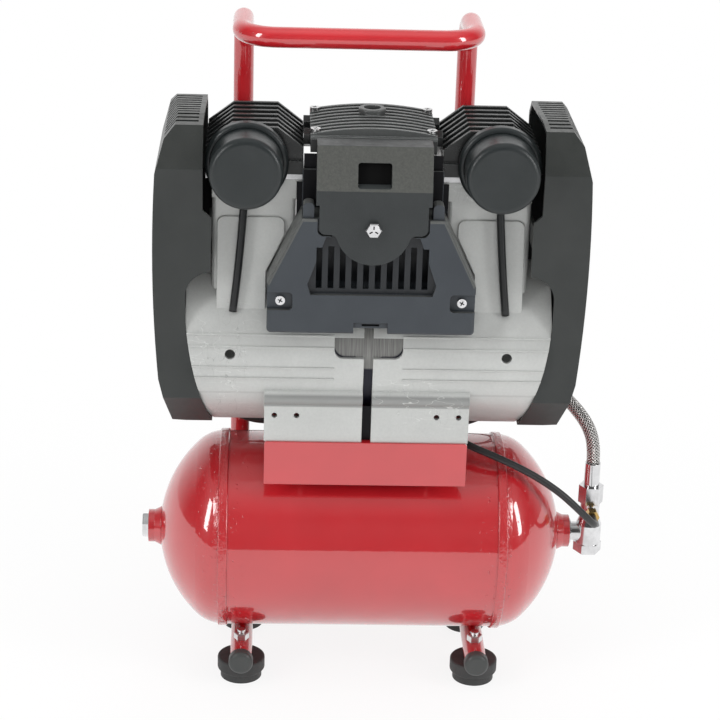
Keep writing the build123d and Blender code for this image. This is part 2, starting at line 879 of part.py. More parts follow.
def running_gear(name, side, up):
    """Connecting rod, wrist pin and piston: the left one starts at the top, the right one at the bottom."""
    x = side * cyl_x
    big_z = up * throw
    small_z = big_z + rod_len
    pin_z = small_z + up * throw
    half = rod_w / 2
    big = cyl_along_x(hub_r + rod_ring, x - half, x + half, z=big_z)
    small = cyl_along_x(eccentric_r + small_ring, x - half, x + half, z=small_z)
    shank = block(x - half, x + half, -rod_shank / 2, rod_shank / 2, big_z, small_z)
    rod = big + small + shank
    rod -= cyl_along_x(hub_r + slip, x - half, x + half, z=big_z)
    rod -= cyl_along_x(eccentric_r + slip, x - half, x + half, z=small_z)

    pin = cyl_along_x(eccentric_r, x - half, x + half, z=small_z)
    pin += cyl_along_x(pin_r, x - pin_half, x + pin_half, z=pin_z)

    room = eccentric_r + small_ring + throw + gap
    piston = cyl_along_z(bore_r - gap, pin_z - skirt, pin_z + crown, x=x)
    piston -= block(x - half - gap, x + half + gap, -room, room, pin_z - skirt, pin_z + room)
    piston -= cyl_along_x(pin_r + slip, x - pin_half - gap, x + pin_half + gap, z=pin_z)
    add_pump("conrod_" + name, rod)
    add_pump("wrist_pin_" + name, pin)
    add_pump("piston_" + name, piston)


def cylinders():
    """Liners, valve plates, finned heads and their bolts."""
    liner = cyl_along_z(bore_r + liner_t, liner_low, column_top, x=cyl_x)
    liner += cyl_along_z(bore_r + liner_t + liner_flange, column_top - liner_flange_h, column_top, x=cyl_x)
    liner -= cyl_along_z(bore_r, liner_low, column_top, x=cyl_x)

    head_low = column_top + plate_t
    head_top = head_low + head_h
    plate = block(
        cyl_x - head_half_x, cyl_x + head_half_x, -head_half_y, head_half_y, column_top, head_low
    )
    base_top = head_low + head_base
    head = block(cyl_x - head_half_x, cyl_x + head_half_x, -head_half_y, head_half_y, head_low, base_top)
    core_x = head_bolt_x - head_bolt_head_r - head_bolt_room
    core_y = head_half_y - head_core_in
    head += block(cyl_x - core_x, cyl_x + core_x, -core_y, core_y, base_top, base_top + head_core)
    fin_face = outline([
        (cyl_x - head_half_x, head_low),
        (cyl_x - head_half_x, head_low + head_shoulder),
        (cyl_x - head_flat, head_top),
        (cyl_x + head_flat, head_top),
        (cyl_x + head_half_x, head_low + head_shoulder),
        (cyl_x + head_half_x, head_low),
    ])
    first = -fin_pitch * (fin_count - 1) / 2
    rows = [first + k * fin_pitch for k in range(fin_count)]
    head += [plate_xz(fin_face, y - fin_t / 2, y + fin_t / 2) for y in rows]
    bolts = []
    for x, y in ((sx * head_bolt_x, sy * fin_pitch * 2.5) for sx in (-1, 1) for sy in (-1, 1)):
        hole = cyl_along_z(head_bolt_r + slip, column_top - 1, base_top + 1, x=cyl_x + x, y=y)
        plate -= hole
        head -= hole
        bolt = cyl_along_z(head_bolt_r, column_top - head_bolt_grip, base_top, x=cyl_x + x, y=y)
        bolt += cyl_along_z(head_bolt_head_r, base_top, base_top + head_bolt_head_h, x=cyl_x + x, y=y)
        bolts += both_sides(bolt)
    add_pump("cylinder_liners", *both_sides(liner))
    add_pump("valve_plates", *both_sides(plate))
    add_pump("head_right", head)
    add_pump("head_left", mirror(head, about=Plane.YZ))
    return bolts


def mufflers():
    """Intake mufflers: bases, twist-off caps, filter elements and breather tubes."""
    back = -column_half_y
    rim = back - muffler_rim
    floor = rim + muffler_floor
    base = cyl_along_y(muffler_r, rim, back, x=muffler_x, z=muffler_z)
    base = fillet(base.edges().filter_by(GeomType.CIRCLE).sort_by(Axis.Y)[0], muffler_rim_round)
    base -= cyl_along_y(muffler_cap_r + gap, rim - 1, floor, x=muffler_x, z=muffler_z)
    tube = breather(0)
    base -= breather(slip)

    face = -muffler_cap_face_y
    cap = cyl_along_y(muffler_cap_r, face, floor - gap, x=muffler_x, z=muffler_z)
    cap = fillet(cap.edges().filter_by(GeomType.CIRCLE).sort_by(Axis.Y)[0], muffler_cap_round)
    hollow_r = muffler_cap_r - muffler_wall
    cap -= cyl_along_y(hollow_r, face + 2 * muffler_wall, floor, x=muffler_x, z=muffler_z)

    element = cyl_along_y(filter_r, face + 3 * muffler_wall, floor, x=muffler_x, z=muffler_z)
    element -= cyl_along_y(filter_bore, face, floor, x=muffler_x, z=muffler_z)
    add_pump("muffler_bases", *both_sides(base))
    add_pump("muffler_cap_right", cap)
    add_pump("muffler_cap_left", mirror(cap, about=Plane.YZ))
    add_pump("filter_elements", *both_sides(element))
    add_pump("breather_tubes", *both_sides(tube))


def manifold():
    """Finned air manifold bridging the heads, with its lid and hex fittings."""
    body = block(-manifold_half, manifold_half, -manifold_front, manifold_back, manifold_low, manifold_split)
    body -= block(
        manifold_end - manifold_half,
        manifold_half - manifold_end,
        manifold_side - manifold_front,
        manifold_back - manifold_side,
        manifold_low + manifold_side,
        manifold_split,
    )
    lid_top = manifold_split + manifold_lid_t
    lid = block(-manifold_half, manifold_half, -manifold_front, manifold_back, manifold_split, lid_top)
    left_tip = (-manifold_half, manifold_fin_edge)
    right_tip = (manifold_half, manifold_fin_edge)
    fin_edges = [
        Polyline(left_tip, (-manifold_half, manifold_split), (manifold_half, manifold_split), right_tip),
        ThreePointArc(right_tip, (0, manifold_fin_top), left_tip),
    ]
    fin_face = make_face(fin_edges)
    middle = (manifold_back - manifold_front) / 2
    first = middle - manifold_fin_pitch * (manifold_fin_count - 1) / 2
    rows = [first + k * manifold_fin_pitch for k in range(manifold_fin_count)]
    lid += [plate_xz(fin_face, y - manifold_fin_t / 2, y + manifold_fin_t / 2) for y in rows]
    ring = cyl_along_z(ring_r, lid_top, manifold_fin_top + ring_h, y=ring_y)
    lid += fillet(ring.edges().filter_by(GeomType.CIRCLE).sort_by(Axis.Z)[-1], ring_round)
    lid -= cyl_along_z(ring_bore, lid_top, manifold_fin_top + ring_h, y=ring_y)

    screws = []
    grip_low = manifold_low + manifold_lid_t
    for x, y in ((sx * manifold_screw_x, middle + sy * manifold_screw_y) for sx in (-1, 1) for sy in (-1, 1)):
        seat = cyl_along_z(head_bolt_head_r + head_bolt_room, lid_top, manifold_fin_top + 1, x=x, y=y)
        hole = cyl_along_z(head_bolt_r + slip, grip_low, lid_top + 1, x=x, y=y)
        lid -= seat + hole
        body -= hole
        screw = cyl_along_z(head_bolt_r, grip_low, lid_top, x=x, y=y)
        screw += cyl_along_z(head_bolt_head_r, lid_top, lid_top + head_bolt_head_h, x=x, y=y)
        screws.append(screw)

    length = cyl_x - head_half_x - manifold_half
    fitting = Pos(manifold_half, 0, fitting_z) * Rot(0, 90, 0) * hexagon(fitting_af, length)
    pair = [Pos(0, y, 0) * fitting for y in (-fitting_y, fitting_y)]
    add_pump("manifold", body)
    add_pump("manifold_lid", lid)
    add_pump("manifold_fittings", *both_sides(pair[0]), *both_sides(pair[1]))
    return screws


def tongue_face(margin):
    """Skirt below the electrical box with a round tongue about its bolt, in the front view."""
    half = skirt_half + margin
    low = skirt_low - margin
    high = box_low + 1
    face = Pos(0, (low + high) / 2) * Rectangle(2 * half, high - low)
    face += Pos(0, bolt_z) * Circle(tongue_r + margin)
    return fillet(face.vertices().group_by(Axis.Y)[0], skirt_round)


def electrical_box():
    """Electrical box with its leaning upper face, window recess, tongue bolt and run capacitor."""
    def form(margin):
        half = box_half - margin
        front = block(-half, half, -box_face_y, -box_back_y, box_low + margin, box_top - margin)
        side = outline([
            (margin - box_face_y, box_low),
            (margin - box_face_y, box_lean_z),
            (margin + box_lean - box_face_y, box_top),
            (-box_back_y, box_top),
            (-box_back_y, box_low),
        ])
        return front & plate_yz(side, -box_half, box_half)

    shell = form(0)
    shell -= form(box_wall)
    shell += plate_xz(tongue_face(0), -box_face_y, tongue_t - box_face_y)
    slope = math.degrees(math.atan2(box_lean, box_top - box_lean_z))
    middle_y = -box_face_y + box_lean * (window_z - box_lean_z) / (box_top - box_lean_z)
    place = Pos(0, middle_y, window_z) * Rot(-slope, 0, 0)
    rim = 2 * window_rim
    frame_box = place * Pos(0, window_depth / 2, 0) * Box(window_w + rim, window_depth, window_h + rim)
    shell += frame_box & form(0)
    sunk = Box(window_w, 2 * (window_depth - window_floor), window_h)
    shell -= place * fillet(sunk.edges().filter_by(Axis.Y), window_round)
    shell -= cyl_along_y(bolt_r + slip, -box_face_y - 1, -box_back_y, z=bolt_z)

    bolt = Pos(0, -box_face_y - bolt_head, bolt_z) * Rot(-90, 0, 0) * hexagon(bolt_af, bolt_head)
    bolt = chamfer(bolt.faces().sort_by(Axis.Y)[0].edges(), hex_chamfer)
    bolt += cyl_along_y(bolt_r, -box_face_y, -box_back_y, z=bolt_z)

    cap_z = box_low + box_wall + capacitor_r + slip
    cap_y = -box_back_y - capacitor_r - gap
    capacitor = cyl_along_x(capacitor_r, -capacitor_len / 2, capacitor_len / 2, y=cap_y, z=cap_z)
    add_pump("switch_box", shell)
    add_pump("box_bolt", bolt)
    add_pump("run_capacitor", capacitor)


def shroud():
    """Front shroud: sloped shoulders, recessed grille before a baffle, open screw pockets and a clip."""
    def front(margin):
        half = shroud_half - margin
        top_half = shroud_top_half - margin
        return outline([
            (-half, shroud_low + margin),
            (half, shroud_low + margin),
            (half, shroud_knee),
            (top_half, shroud_top - margin),
            (-top_half, shroud_top - margin),
            (-half, shroud_knee),
        ])

    back = -column_half_y
    shell = plate_xz(front(0), -box_face_y, back)
    shell = fillet(shell.edges().filter_by(Axis.Y).group_by(Axis.Z)[0], shroud_round)
    shell = chamfer(shell.faces().sort_by(Axis.Y)[0].edges(), shroud_bevel)
    shell -= plate_xz(front(shroud_wall), shroud_t - box_face_y, back)
    pocket_face = outline([
        (-opening_half, opening_side),
        (opening_slant - opening_half, opening_low),
        (opening_half - opening_slant, opening_low),
        (opening_half, opening_side),
        (lobe_half, lobe_z),
        (-lobe_half, lobe_z),
    ])
    floor = shroud_pocket - box_face_y
    shell -= plate_xz(pocket_face, -box_face_y, floor)
    shell -= plate_xz(tongue_face(tongue_room), -box_face_y, floor)
    shell += cyl_along_y(bolt_pad_r, tongue_t - box_face_y, floor, z=bolt_z)
    first = -slot_pitch * (slot_count - 1) / 2
    for k in range(slot_count):
        x = first + k * slot_pitch
        shell -= block(x - slot_w / 2, x + slot_w / 2, -box_face_y, back, slot_low, slot_high)
    shell += cyl_along_y(bolt_boss_r, floor, -box_back_y, z=bolt_z)
    shell -= cyl_along_y(bolt_r + slip, -box_face_y, 0, z=bolt_z)

    ear = block(
        ear_in, ear_out, floor, floor + ear_t, shroud_top - shroud_wall, shroud_top + ear_h
    )
    ear = fillet(ear.edges().filter_by(Axis.Y).group_by(Axis.Z)[-1], shroud_round)
    boss = cyl_along_y(pocket_boss_r, floor, back, x=shroud_screw_x, z=shroud_screw_z)
    sunk = block(
        shroud_screw_x - pocket_in,
        shroud_half + pocket_in,
        -box_face_y,
        floor,
        shroud_screw_z - pocket_half,
        shroud_screw_z + pocket_half,
    )
    sunk = fillet(sunk.edges().filter_by(Axis.Y).group_by(Axis.X)[0], pocket_round)
    hole = cyl_along_y(screw_r + slip, -box_face_y, back, x=shroud_screw_x, z=shroud_screw_z)
    shell += both_sides(boss) + both_sides(ear)
    shell -= both_sides(sunk)
    shell -= both_sides(hole)

    clip_low = shroud_low + clip_h
    clip_high = clip_low + clip_h
    slit_z = (clip_low + clip_high) / 2
    shell -= block(-clip_half, clip_half, -box_face_y, back, shroud_low, clip_low)
    shell -= block(-clip_half, clip_half, -box_face_y, clip_depth - box_face_y, clip_low, clip_high)
    shell -= block(
        -clip_slit_half, clip_slit_half, -box_face_y, back, slit_z - clip_slit_h / 2, slit_z + clip_slit_h / 2
    )
    drum_room = drum_r + rib_h + gap
    baffle_low = math.sqrt(drum_room**2 - baffle_y**2)
    baffle_half = shroud_top_half - gap
    shell += block(-baffle_half, baffle_half, baffle_y, baffle_y + shroud_wall, baffle_low, baffle_top)
    shell -= cyl_along_x(drum_room, -drum_end_x, drum_end_x)
    add_pump("shroud", shell)

    screw = cyl_along_y(screw_r, floor, screw_grip - column_half_y, x=shroud_screw_x, z=shroud_screw_z)
    screw += cyl_along_y(screw_head_r, floor - screw_head_h, floor, x=shroud_screw_x, z=shroud_screw_z)
    return both_sides(screw)


def fan_covers():
    """Louvred fan covers over both housing ends, with inside lugs screwed to the columns."""
    def form(margin, opened):
        top = cover_top - margin
        side_x = cover_x - margin
        bottom = cover_low + margin
        low = (cover_foot_in, bottom)
        inner = (cover_in, edge_inner)
        step = cover_top_in - cover_in
        cheek = (side_x - cheek_edge, top - cheek_drop)
        waist = (side_x - waist_edge, waist_z)
        outer = [
            Polyline(
                inner,
                (cover_in, cover_step_z),
                (cover_top_in, cover_step_z + step),
                (cover_top_in, top),
                (side_x - brow_in, top),
                (side_x - brow_edge, top - brow_drop),
                cheek,
            ),
            ThreePointArc(cheek, (side_x, belly_z), waist),
            Polyline(waist, (side_x - heel_edge, bottom + heel_lift), low),
        ]
        if opened:
            deep = cover_foot_in - 2 * margin
            side = [Polyline(low, (deep, bottom), (deep, edge_inner), inner)]
        else:
            side = cover_inner_edge()
        half = cover_half_y - margin
        profile = outline([
            (-half, taper_z),
            (-half, top - crown_lean_drop),
            (crown_lean - half, top - crown_front_drop),
            (-crown_y, top),
            (crown_back_y - margin, top - crown_back_drop),
            (half, top - crown_heel_drop),
            (half, taper_z),
            (toe_half - margin / 2, bottom + toe_lift),
            (margin / 2 - toe_half, bottom + toe_lift),
        ])
        return plate_xz(make_face(outer + side), -half, half) & plate_yz(profile, 0, 2 * cover_x)

    cover = form(0, False) - form(cover_wall, True)
    for k in range(louvre_count):
        y = louvre_front + k * louvre_pitch
        cover -= block(
            cover_top_in + louvre_margin,
            cover_x - brow_edge,
            y - louvre_w / 2,
            y + louvre_w / 2,
            cover_top - louvre_deep,
            cover_top + 1,
        )
    first = -side_slot_pitch * (side_slot_count - 1) / 2
    for k in range(side_slot_count):
        z = first + k * side_slot_pitch
        half = math.sqrt(max(fan_r**2 - z**2, 1.0)) * side_slot_half / fan_r
        slot_in = drum_end_x + side_slot_in
        cover -= block(slot_in, cover_x + 1, -half, half, z - side_slot_w / 2, z + side_slot_w / 2)
    lug_end = cover_half_y - cover_wall
    lug = block(cover_in, cover_in + cover_wall, lug_y, lug_end, lug_z - lug_h / 2, lug_z + lug_h / 2)
    lug -= cyl_along_x(screw_r + slip, cover_in - 1, cover_in + cover_wall + 1, y=lug_screw_y, z=lug_z)
    cover += [lug, mirror(lug, about=Plane.XZ)]
    add_pump("fan_cover_right", cover)
    add_pump("fan_cover_left", mirror(cover, about=Plane.YZ))

    seat = cover_in + cover_wall
    screw = cyl_along_x(screw_r, cover_in - screw_grip, seat, y=lug_screw_y, z=lug_z)
    screw += cyl_along_x(screw_head_r, seat, seat + screw_head_h, y=lug_screw_y, z=lug_z)
    return four_corners(screw)


def saddle_screws():
    """Screws that hold the housings on the saddle."""
    ledge = foot_low + foot_wall
    low = foot_low - saddle_t - screw_grip
    screw = cyl_along_z(screw_r, low, ledge, x=saddle_bolt_x, y=saddle_bolt_y)
    screw += cyl_along_z(screw_head_r, ledge, ledge + screw_head_h, x=saddle_bolt_x, y=saddle_bolt_y)
    return four_corners(screw)


def check_valve(plug):
    """Check valve in the right socket, its brass nut, the hose to the manifold and the unloader tube."""
    valve_low = tank_z - valve_drop
    hex_low = tank_z + valve_hex_rise
    nut_z = tank_z + nut_rise
    cap_top = valve_low + valve_cap_h
    body_top = cap_top + valve_body_h
    valve = cyl_along_x(socket_bore - slip, tank_tip - socket_inside, socket_face, z=tank_z)
    valve += cyl_along_x(valve_washer_r, socket_face, socket_face + valve_washer_t, z=tank_z)
    valve += cyl_along_x(valve_neck_r, socket_face, valve_x, z=tank_z)
    cap = Pos(valve_x, 0, valve_low) * hexagon(valve_cap_af, valve_cap_h)
    valve += chamfer(cap.faces().sort_by(Axis.Z)[0].edges(), hex_chamfer)
    valve += cyl_along_z(valve_body_r, cap_top, body_top, x=valve_x)
    valve += Pos(valve_x, 0, body_top + valve_taper_h / 2) * Cone(valve_body_r, valve_r, valve_taper_h)
    valve += cyl_along_z(valve_r, body_top, hex_low, x=valve_x)
    valve += Pos(valve_x, 0, hex_low) * hexagon(valve_hex_af, valve_hex_h)
    valve += cyl_along_y(valve_port_r, -valve_r - valve_port, 0, x=valve_x, z=nut_z)
    nut_face = -valve_r - valve_port - brass_nut_len
    nut = Pos(valve_x, nut_face, nut_z) * Rot(-90, 0, 0) * hexagon(brass_nut_af, brass_nut_len)

    ferrule_z = hex_low + valve_hex_h
    ferrule_low = cyl_along_z(ferrule_r, ferrule_z, ferrule_z + ferrule_h, x=valve_x)
    elbow_y = manifold_back + elbow_reach
    elbow_z = axis_z + fitting_z
    elbow = cyl_along_y(ferrule_r, manifold_back, elbow_y + ferrule_r, x=elbow_x, z=elbow_z)
    spread = Pos(elbow_x, elbow_y, elbow_z) * Rot(0, 0, elbow_turn) * Rot(0, elbow_dip, 0)
    elbow += spread * cyl_along_x(elbow_r, 0, elbow_branch)
    ferrule_high = spread * cyl_along_x(ferrule_r, elbow_branch, elbow_branch + ferrule_h)
    branch_end = elbow_branch + ferrule_h
    hose_low = ferrule_z + ferrule_h

    def along_branch(distance):
        return tuple((spread * Pos(distance, 0, 0)).position)

    hose_route = [
        (valve_x, 0, hose_low),
        (valve_x, 0, hose_low + hose_rise),
        (221, 5.5, 243),
        (210.5, 16, 256),
        (199, 30, 264),
        (193, 47, 269),
        (187, 65, 274),
        (174.5, 81.5, 284.5),
        (159, 92.5, 301),
        (145.5, 96.5, 323),
        (135.5, 95, 350),
        (128, 90.5, 380),
        (120, 85, 409),
        (109, 78, 436),
        (93.5, 70, 462),
        along_branch(branch_end + hose_lead),
        along_branch(branch_end),
    ]
    switch_port_x = switch_half_x + brass_nut_len
    port_y = outlet_y + port_aft
    port_z = tank_z + port_rise
    unloader_route = [
        (valve_x, nut_face, nut_z),
        (valve_x, nut_face - 13.5, nut_z),
        (225, -47, 163),
        (217, -55, 173),
        (204, -58, 187),
        (186, -57, 203),
        (160, -53, 219),
        (130, -48, 232),
        (102, -38, 240),
        (82, -18, 243),
        (76, 10, 243),
        (76, 40, 232),
        (75, 66, 213),
        (75, 88, 200),
        (74, 106, 195),
        (68, 121, 194),
        (switch_port_x + 15, port_y, port_z),
        (switch_port_x, port_y, port_z),
    ]
    port = Pos(switch_half_x, port_y, port_z) * Rot(0, 90, 0) * hexagon(brass_nut_af, brass_nut_len)
    add("check_valve", valve)
    add("braided_hose", bent_tube("braided_hose", hose_route, hose_r))
    add("unloader_tube", bent_tube("unloader_tube", unloader_route, tube_r))
    add("steel_fittings", plug, ferrule_low, elbow, ferrule_high)
    return [nut, port]


def controls(brass):
    """Outlet block, pressure switch, regulator, gauges, safety valve and drain cock behind the tank."""
    front = outlet_socket_end
    rear = 2 * outlet_y - front
    z = tank_z
    outlet = block(-block_half, block_half, front, rear, z - block_half, z + block_half)
    outlet = fillet(outlet.edges(), block_round)
    outlet += cyl_along_y(outlet_stub_r - slip, tank_r - tank_wall, front, z=z)
    outlet += cyl_along_z(switch_neck_r, z + block_half, switch_low, y=outlet_y)

    case = block(
        -switch_half_x, switch_half_x, outlet_y - switch_fore, outlet_y + switch_aft, switch_low, switch_high
    )
    case = fillet(case.edges().filter_by(Axis.Z), switch_round)
    case = fillet(case.edges().group_by(Axis.Z)[-1], switch_round / 2)
    case -= cyl_along_z(knob_stem_r + slip, switch_high - knob_stem_len, switch_high + 1, y=outlet_y)
    knob = cyl_along_z(knob_r, switch_high + gap, switch_high + knob_h, y=outlet_y)
    knob_top = switch_high + knob_h
    bar_y = (outlet_y - knob_reach, outlet_y + knob_reach)
    knob += block(-knob_bar / 2, knob_bar / 2, *bar_y, knob_top - knob_bar, knob_top)
    knob += cyl_along_z(knob_stem_r, switch_high - knob_stem_len + gap, switch_high + 1, y=outlet_y)

    body = cyl_along_z(regulator_r, z - regulator_half, z + regulator_half, x=regulator_x, y=outlet_y)
    body += cyl_along_x(regulator_neck, block_half, regulator_x, y=outlet_y, z=z)
    body_top = z + regulator_half
    body += cyl_along_z(dial_stem_r, body_top, body_top + dial_stem_len, x=regulator_x, y=outlet_y)
    knob_low = body_top + gap
    knob_high = knob_low + regulator_knob_h
    dial = cyl_along_z(regulator_knob_r, knob_low, knob_high, x=regulator_x, y=outlet_y)
    dial = fillet(dial.edges().filter_by(GeomType.CIRCLE).sort_by(Axis.Z)[-1], dial_round)
    flute_x = regulator_x + regulator_knob_r
    flute = cyl_along_z(flute_r, knob_low + flute_lift, knob_high + 1, x=flute_x, y=outlet_y)
    turn_axis = Axis((regulator_x, outlet_y, 0), (0, 0, 1))
    dial -= [flute.rotate(turn_axis, k * 360 / flute_count) for k in range(flute_count)]
    stem_top = body_top + dial_stem_len + gap
    dial -= cyl_along_z(dial_stem_r + slip, knob_low - 1, stem_top, x=regulator_x, y=outlet_y)

    def gauge(x, start):
        neck = cyl_along_y(gauge_neck, start, start + gauge_neck_len, x=x, z=z)
        case_y = start + gauge_neck_len
        dial_case = cyl_along_y(gauge_r, case_y, case_y + gauge_len, x=x, z=z)
        dial_case = fillet(dial_case.edges().filter_by(GeomType.CIRCLE).sort_by(Axis.Y)[0], gauge_round)
        rim_y = case_y + gauge_len
        dial_case -= cyl_along_y(gauge_r - gauge_rim, rim_y - gauge_rim, rim_y, x=x, z=z)
        return neck + dial_case - body

    coupler_x = regulator_x + regulator_r
    coupler = cyl_along_x(coupler_r, regulator_x, coupler_x + coupler_len, y=outlet_y, z=z)
    coupler -= cyl_along_z(regulator_r, 0, 2 * z, x=regulator_x, y=outlet_y)
    mouth = coupler_x + coupler_len
    coupler -= cyl_along_x(coupler_bore, mouth - coupler_depth, mouth + 1, y=outlet_y, z=z)

    safety_end = block_half + safety_len
    safety = Pos(-safety_end, outlet_y, z) * Rot(0, 90, 0) * hexagon(safety_af, safety_len)
    stem_end = -block_half - safety_wall
    safety -= cyl_along_x(safety_stem_r + slip, -safety_end - 1, stem_end, y=outlet_y, z=z)
    ring_x = -safety_end - ring_major - ring_room
    stem = cyl_along_x(safety_stem_r, ring_x + ring_major, stem_end - gap, y=outlet_y, z=z)
    loop = Pos(ring_x, outlet_y, z) * Rot(90, 0, 0) * Torus(ring_major, ring_minor)

    drain = cyl_along_z(drain_body_r - slip, drain_low, drain_top + drain_grip, y=drain_y)
    drain -= cyl_along_z(drain_stem_r + slip, drain_low - 1, drain_low + drain_stem_len + gap, y=drain_y)
    tap_top = drain_low - gap
    tap = cyl_along_z(drain_stem_r, tap_top, drain_low + drain_stem_len, y=drain_y)
    tap += block(-tap_half, tap_half, drain_y - tap_t / 2, drain_y + tap_t / 2, tap_top - tap_h, tap_top)

    add("brass_fittings", outlet, coupler, safety, drain, *brass)
    add("pressure_switch", case)
    add("switch_knob", knob)
    add("regulator_body", body)
    add("regulator_knob", dial)
    add("gauges", gauge(0, rear), gauge(regulator_x, outlet_y + regulator_r - 1))
    add("safety_ring", stem + loop)
    add("drain_tap", tap)


def leads():
    """Leads from the pressure switch to the pump's foot, and their glands."""
    foot_gland_x = foot_half + gland_len
    foot_gland_z = saddle_top + foot_gland_rise
    switch_gland_x = switch_half_x + gland_len
    switch_gland_y = outlet_y + switch_gland_aft
    switch_gland_z = tank_z + switch_gland_rise
    right = [
        (foot_gland_x, foot_gland_y, foot_gland_z),
        (foot_gland_x + 21, foot_gland_y, foot_gland_z),
        (142, 66, 258),
        (148, 76, 236),
        (134, 86, 220),
        (112, 83, 214),
        (92, 83, 212),
        (77, 94, 211),
        (71, 114, 212),
        (switch_gland_x + 20, switch_gland_y, switch_gland_z),
        (switch_gland_x, switch_gland_y, switch_gland_z),
    ]
    left = [(-x, y, zed) for x, y, zed in right]
    foot_gland = cyl_along_x(gland_r, foot_half, foot_gland_x, y=foot_gland_y, z=foot_gland_z)
    switch_gland = cyl_along_x(gland_r, switch_half_x, switch_gland_x, y=switch_gland_y, z=switch_gland_z)
    add("leads", bent_tube("lead_right", right, lead_r), bent_tube("lead_left", left, lead_r))
    add("cable_glands", *both_sides(foot_gland), *both_sides(switch_gland))


plug_piece = tank()
legs()
handle()
saddle()
housings()
motor()
running_gear("left", -1, 1)
running_gear("right", 1, -1)
bolt_pieces = cylinders()
mufflers()
bolt_pieces += manifold()
add_pump("head_bolts", *bolt_pieces)
electrical_box()
add_pump("case_screws", *shroud(), *fan_covers(), *saddle_screws())
controls(check_valve(plug_piece))
leads()

os.makedirs("parts", exist_ok=True)
for node_name, solids in nodes.items():
    export_step(Compound(solids), "parts/" + node_name + ".step")
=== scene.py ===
import json
import math

import bmesh
import bpy
from mathutils import Matrix, Vector


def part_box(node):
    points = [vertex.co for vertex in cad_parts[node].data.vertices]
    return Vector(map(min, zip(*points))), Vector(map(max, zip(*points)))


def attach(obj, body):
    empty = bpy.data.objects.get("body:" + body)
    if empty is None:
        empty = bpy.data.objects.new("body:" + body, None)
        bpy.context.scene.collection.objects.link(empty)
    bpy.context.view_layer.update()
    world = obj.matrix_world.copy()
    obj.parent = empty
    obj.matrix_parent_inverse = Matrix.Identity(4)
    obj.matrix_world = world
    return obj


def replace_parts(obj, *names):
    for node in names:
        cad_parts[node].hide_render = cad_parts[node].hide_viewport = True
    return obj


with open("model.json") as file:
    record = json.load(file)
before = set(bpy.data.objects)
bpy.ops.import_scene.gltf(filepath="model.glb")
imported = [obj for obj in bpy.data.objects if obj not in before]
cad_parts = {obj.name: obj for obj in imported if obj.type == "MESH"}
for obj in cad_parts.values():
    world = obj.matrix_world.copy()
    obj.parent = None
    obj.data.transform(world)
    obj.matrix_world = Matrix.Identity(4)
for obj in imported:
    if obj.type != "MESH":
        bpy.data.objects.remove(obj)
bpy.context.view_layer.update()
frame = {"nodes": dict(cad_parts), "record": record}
nodes = frame["nodes"]
scene = bpy.context.scene
scene.view_settings.view_transform = "Standard"

TURN = 2 * math.pi
SPREAD = (0.3, 0.7)  # nearly all values of a noise lie between these

# Edge radii and, from no effect to full effect, where a tone changes on one piece; in metres
SOFT_EDGE, ROUND_EDGE, CRISP_EDGE, FINE_EDGE = 0.0008, 0.0012, 0.0003, 0.0005
CRISP_FADE = 0.003
# Bounds of the painted shade on the grille bars and the pocket behind them
GRILLE_SIDE, GRILLE_FRONT = (0.0575, 0.0565), (-0.0935, -0.091)
GRILLE_FOOT, GRILLE_TOP = (0.4105, 0.4125), (0.468, 0.466)
# Bounds of a strip of painted shade on the brackets' feet
BAND_FRONT, BAND_FOOT, BAND_TOP = (0.0735, 0.075), (0.2945, 0.2955), (0.3085, 0.3065)
SEAM_X, WELD, SPATTER = 0.134, (0.0075, 0.002), (0.03, 0.006)
# Bounds of the painted shade on the motor core, under the notch's lip
LIP_STEP, LIP_HEIGHT, LIP_BEND = (0.006, 0.012), (0.333, 0.345), (0.021, 0.0316)
LIP_RISE, LIP_BLUR = 0.011, 0.0008

# Pale tone laid on upward faces: partly dust, partly painted light from above
DUST_AND_TOP_LIGHT = (0.165, 0.165, 0.145)
# Painted shade deep in slots and between fins keeps this part of a colour
RECESS_SHADE = 0.15  # part of a colour that is left deep in a recess


# Materials
class Kit:
    """A small kit for a node tree."""

    def __init__(self, tree):
        self.tree = tree

    def add(self, kind, **settings):
        node = self.tree.nodes.new(kind)
        for key, value in settings.items():
            setattr(node, key, value)
        return node

    def put(self, value, socket):
        """Set a number on a socket, or link a socket to it."""
        if isinstance(value, (int, float)):
            socket.default_value = value
        elif isinstance(value, tuple):
            socket.default_value = (*value, 1)
        else:
            self.tree.links.new(value, socket)

    def math(self, kind, one, two=None):
        node = self.add("ShaderNodeMath", operation=kind)
        self.put(one, node.inputs[0])
        if two is not None:
            self.put(two, node.inputs[1])
        return node.outputs[0]

    def span(self, value, low, high, to_low=0.0, to_high=1.0):
        """Value brought from one range to another, and held inside it."""
        node = self.add("ShaderNodeMapRange")
        for socket, number in zip(node.inputs, (value, low, high, to_low, to_high)):
            self.put(number, socket)
        return node.outputs[0]

    def choose(self, share, one, two):
        """Two numbers mixed by a share."""
        node = self.add("ShaderNodeMix", data_type="FLOAT")
        for k, value in ((0, share), (2, one), (3, two)):
            self.put(value, node.inputs[k])
        return node.outputs[0]

    def blend(self, share, one, two):
        """Two colours mixed by a share."""
        node = self.add("ShaderNodeMix", data_type="RGBA")
        for k, value in ((0, share), (6, one), (7, two)):
            self.put(value, node.inputs[k])
        return node.outputs[2]

    def parts(self, vector):
        node = self.add("ShaderNodeSeparateXYZ")
        self.put(vector, node.inputs[0])
        return node.outputs


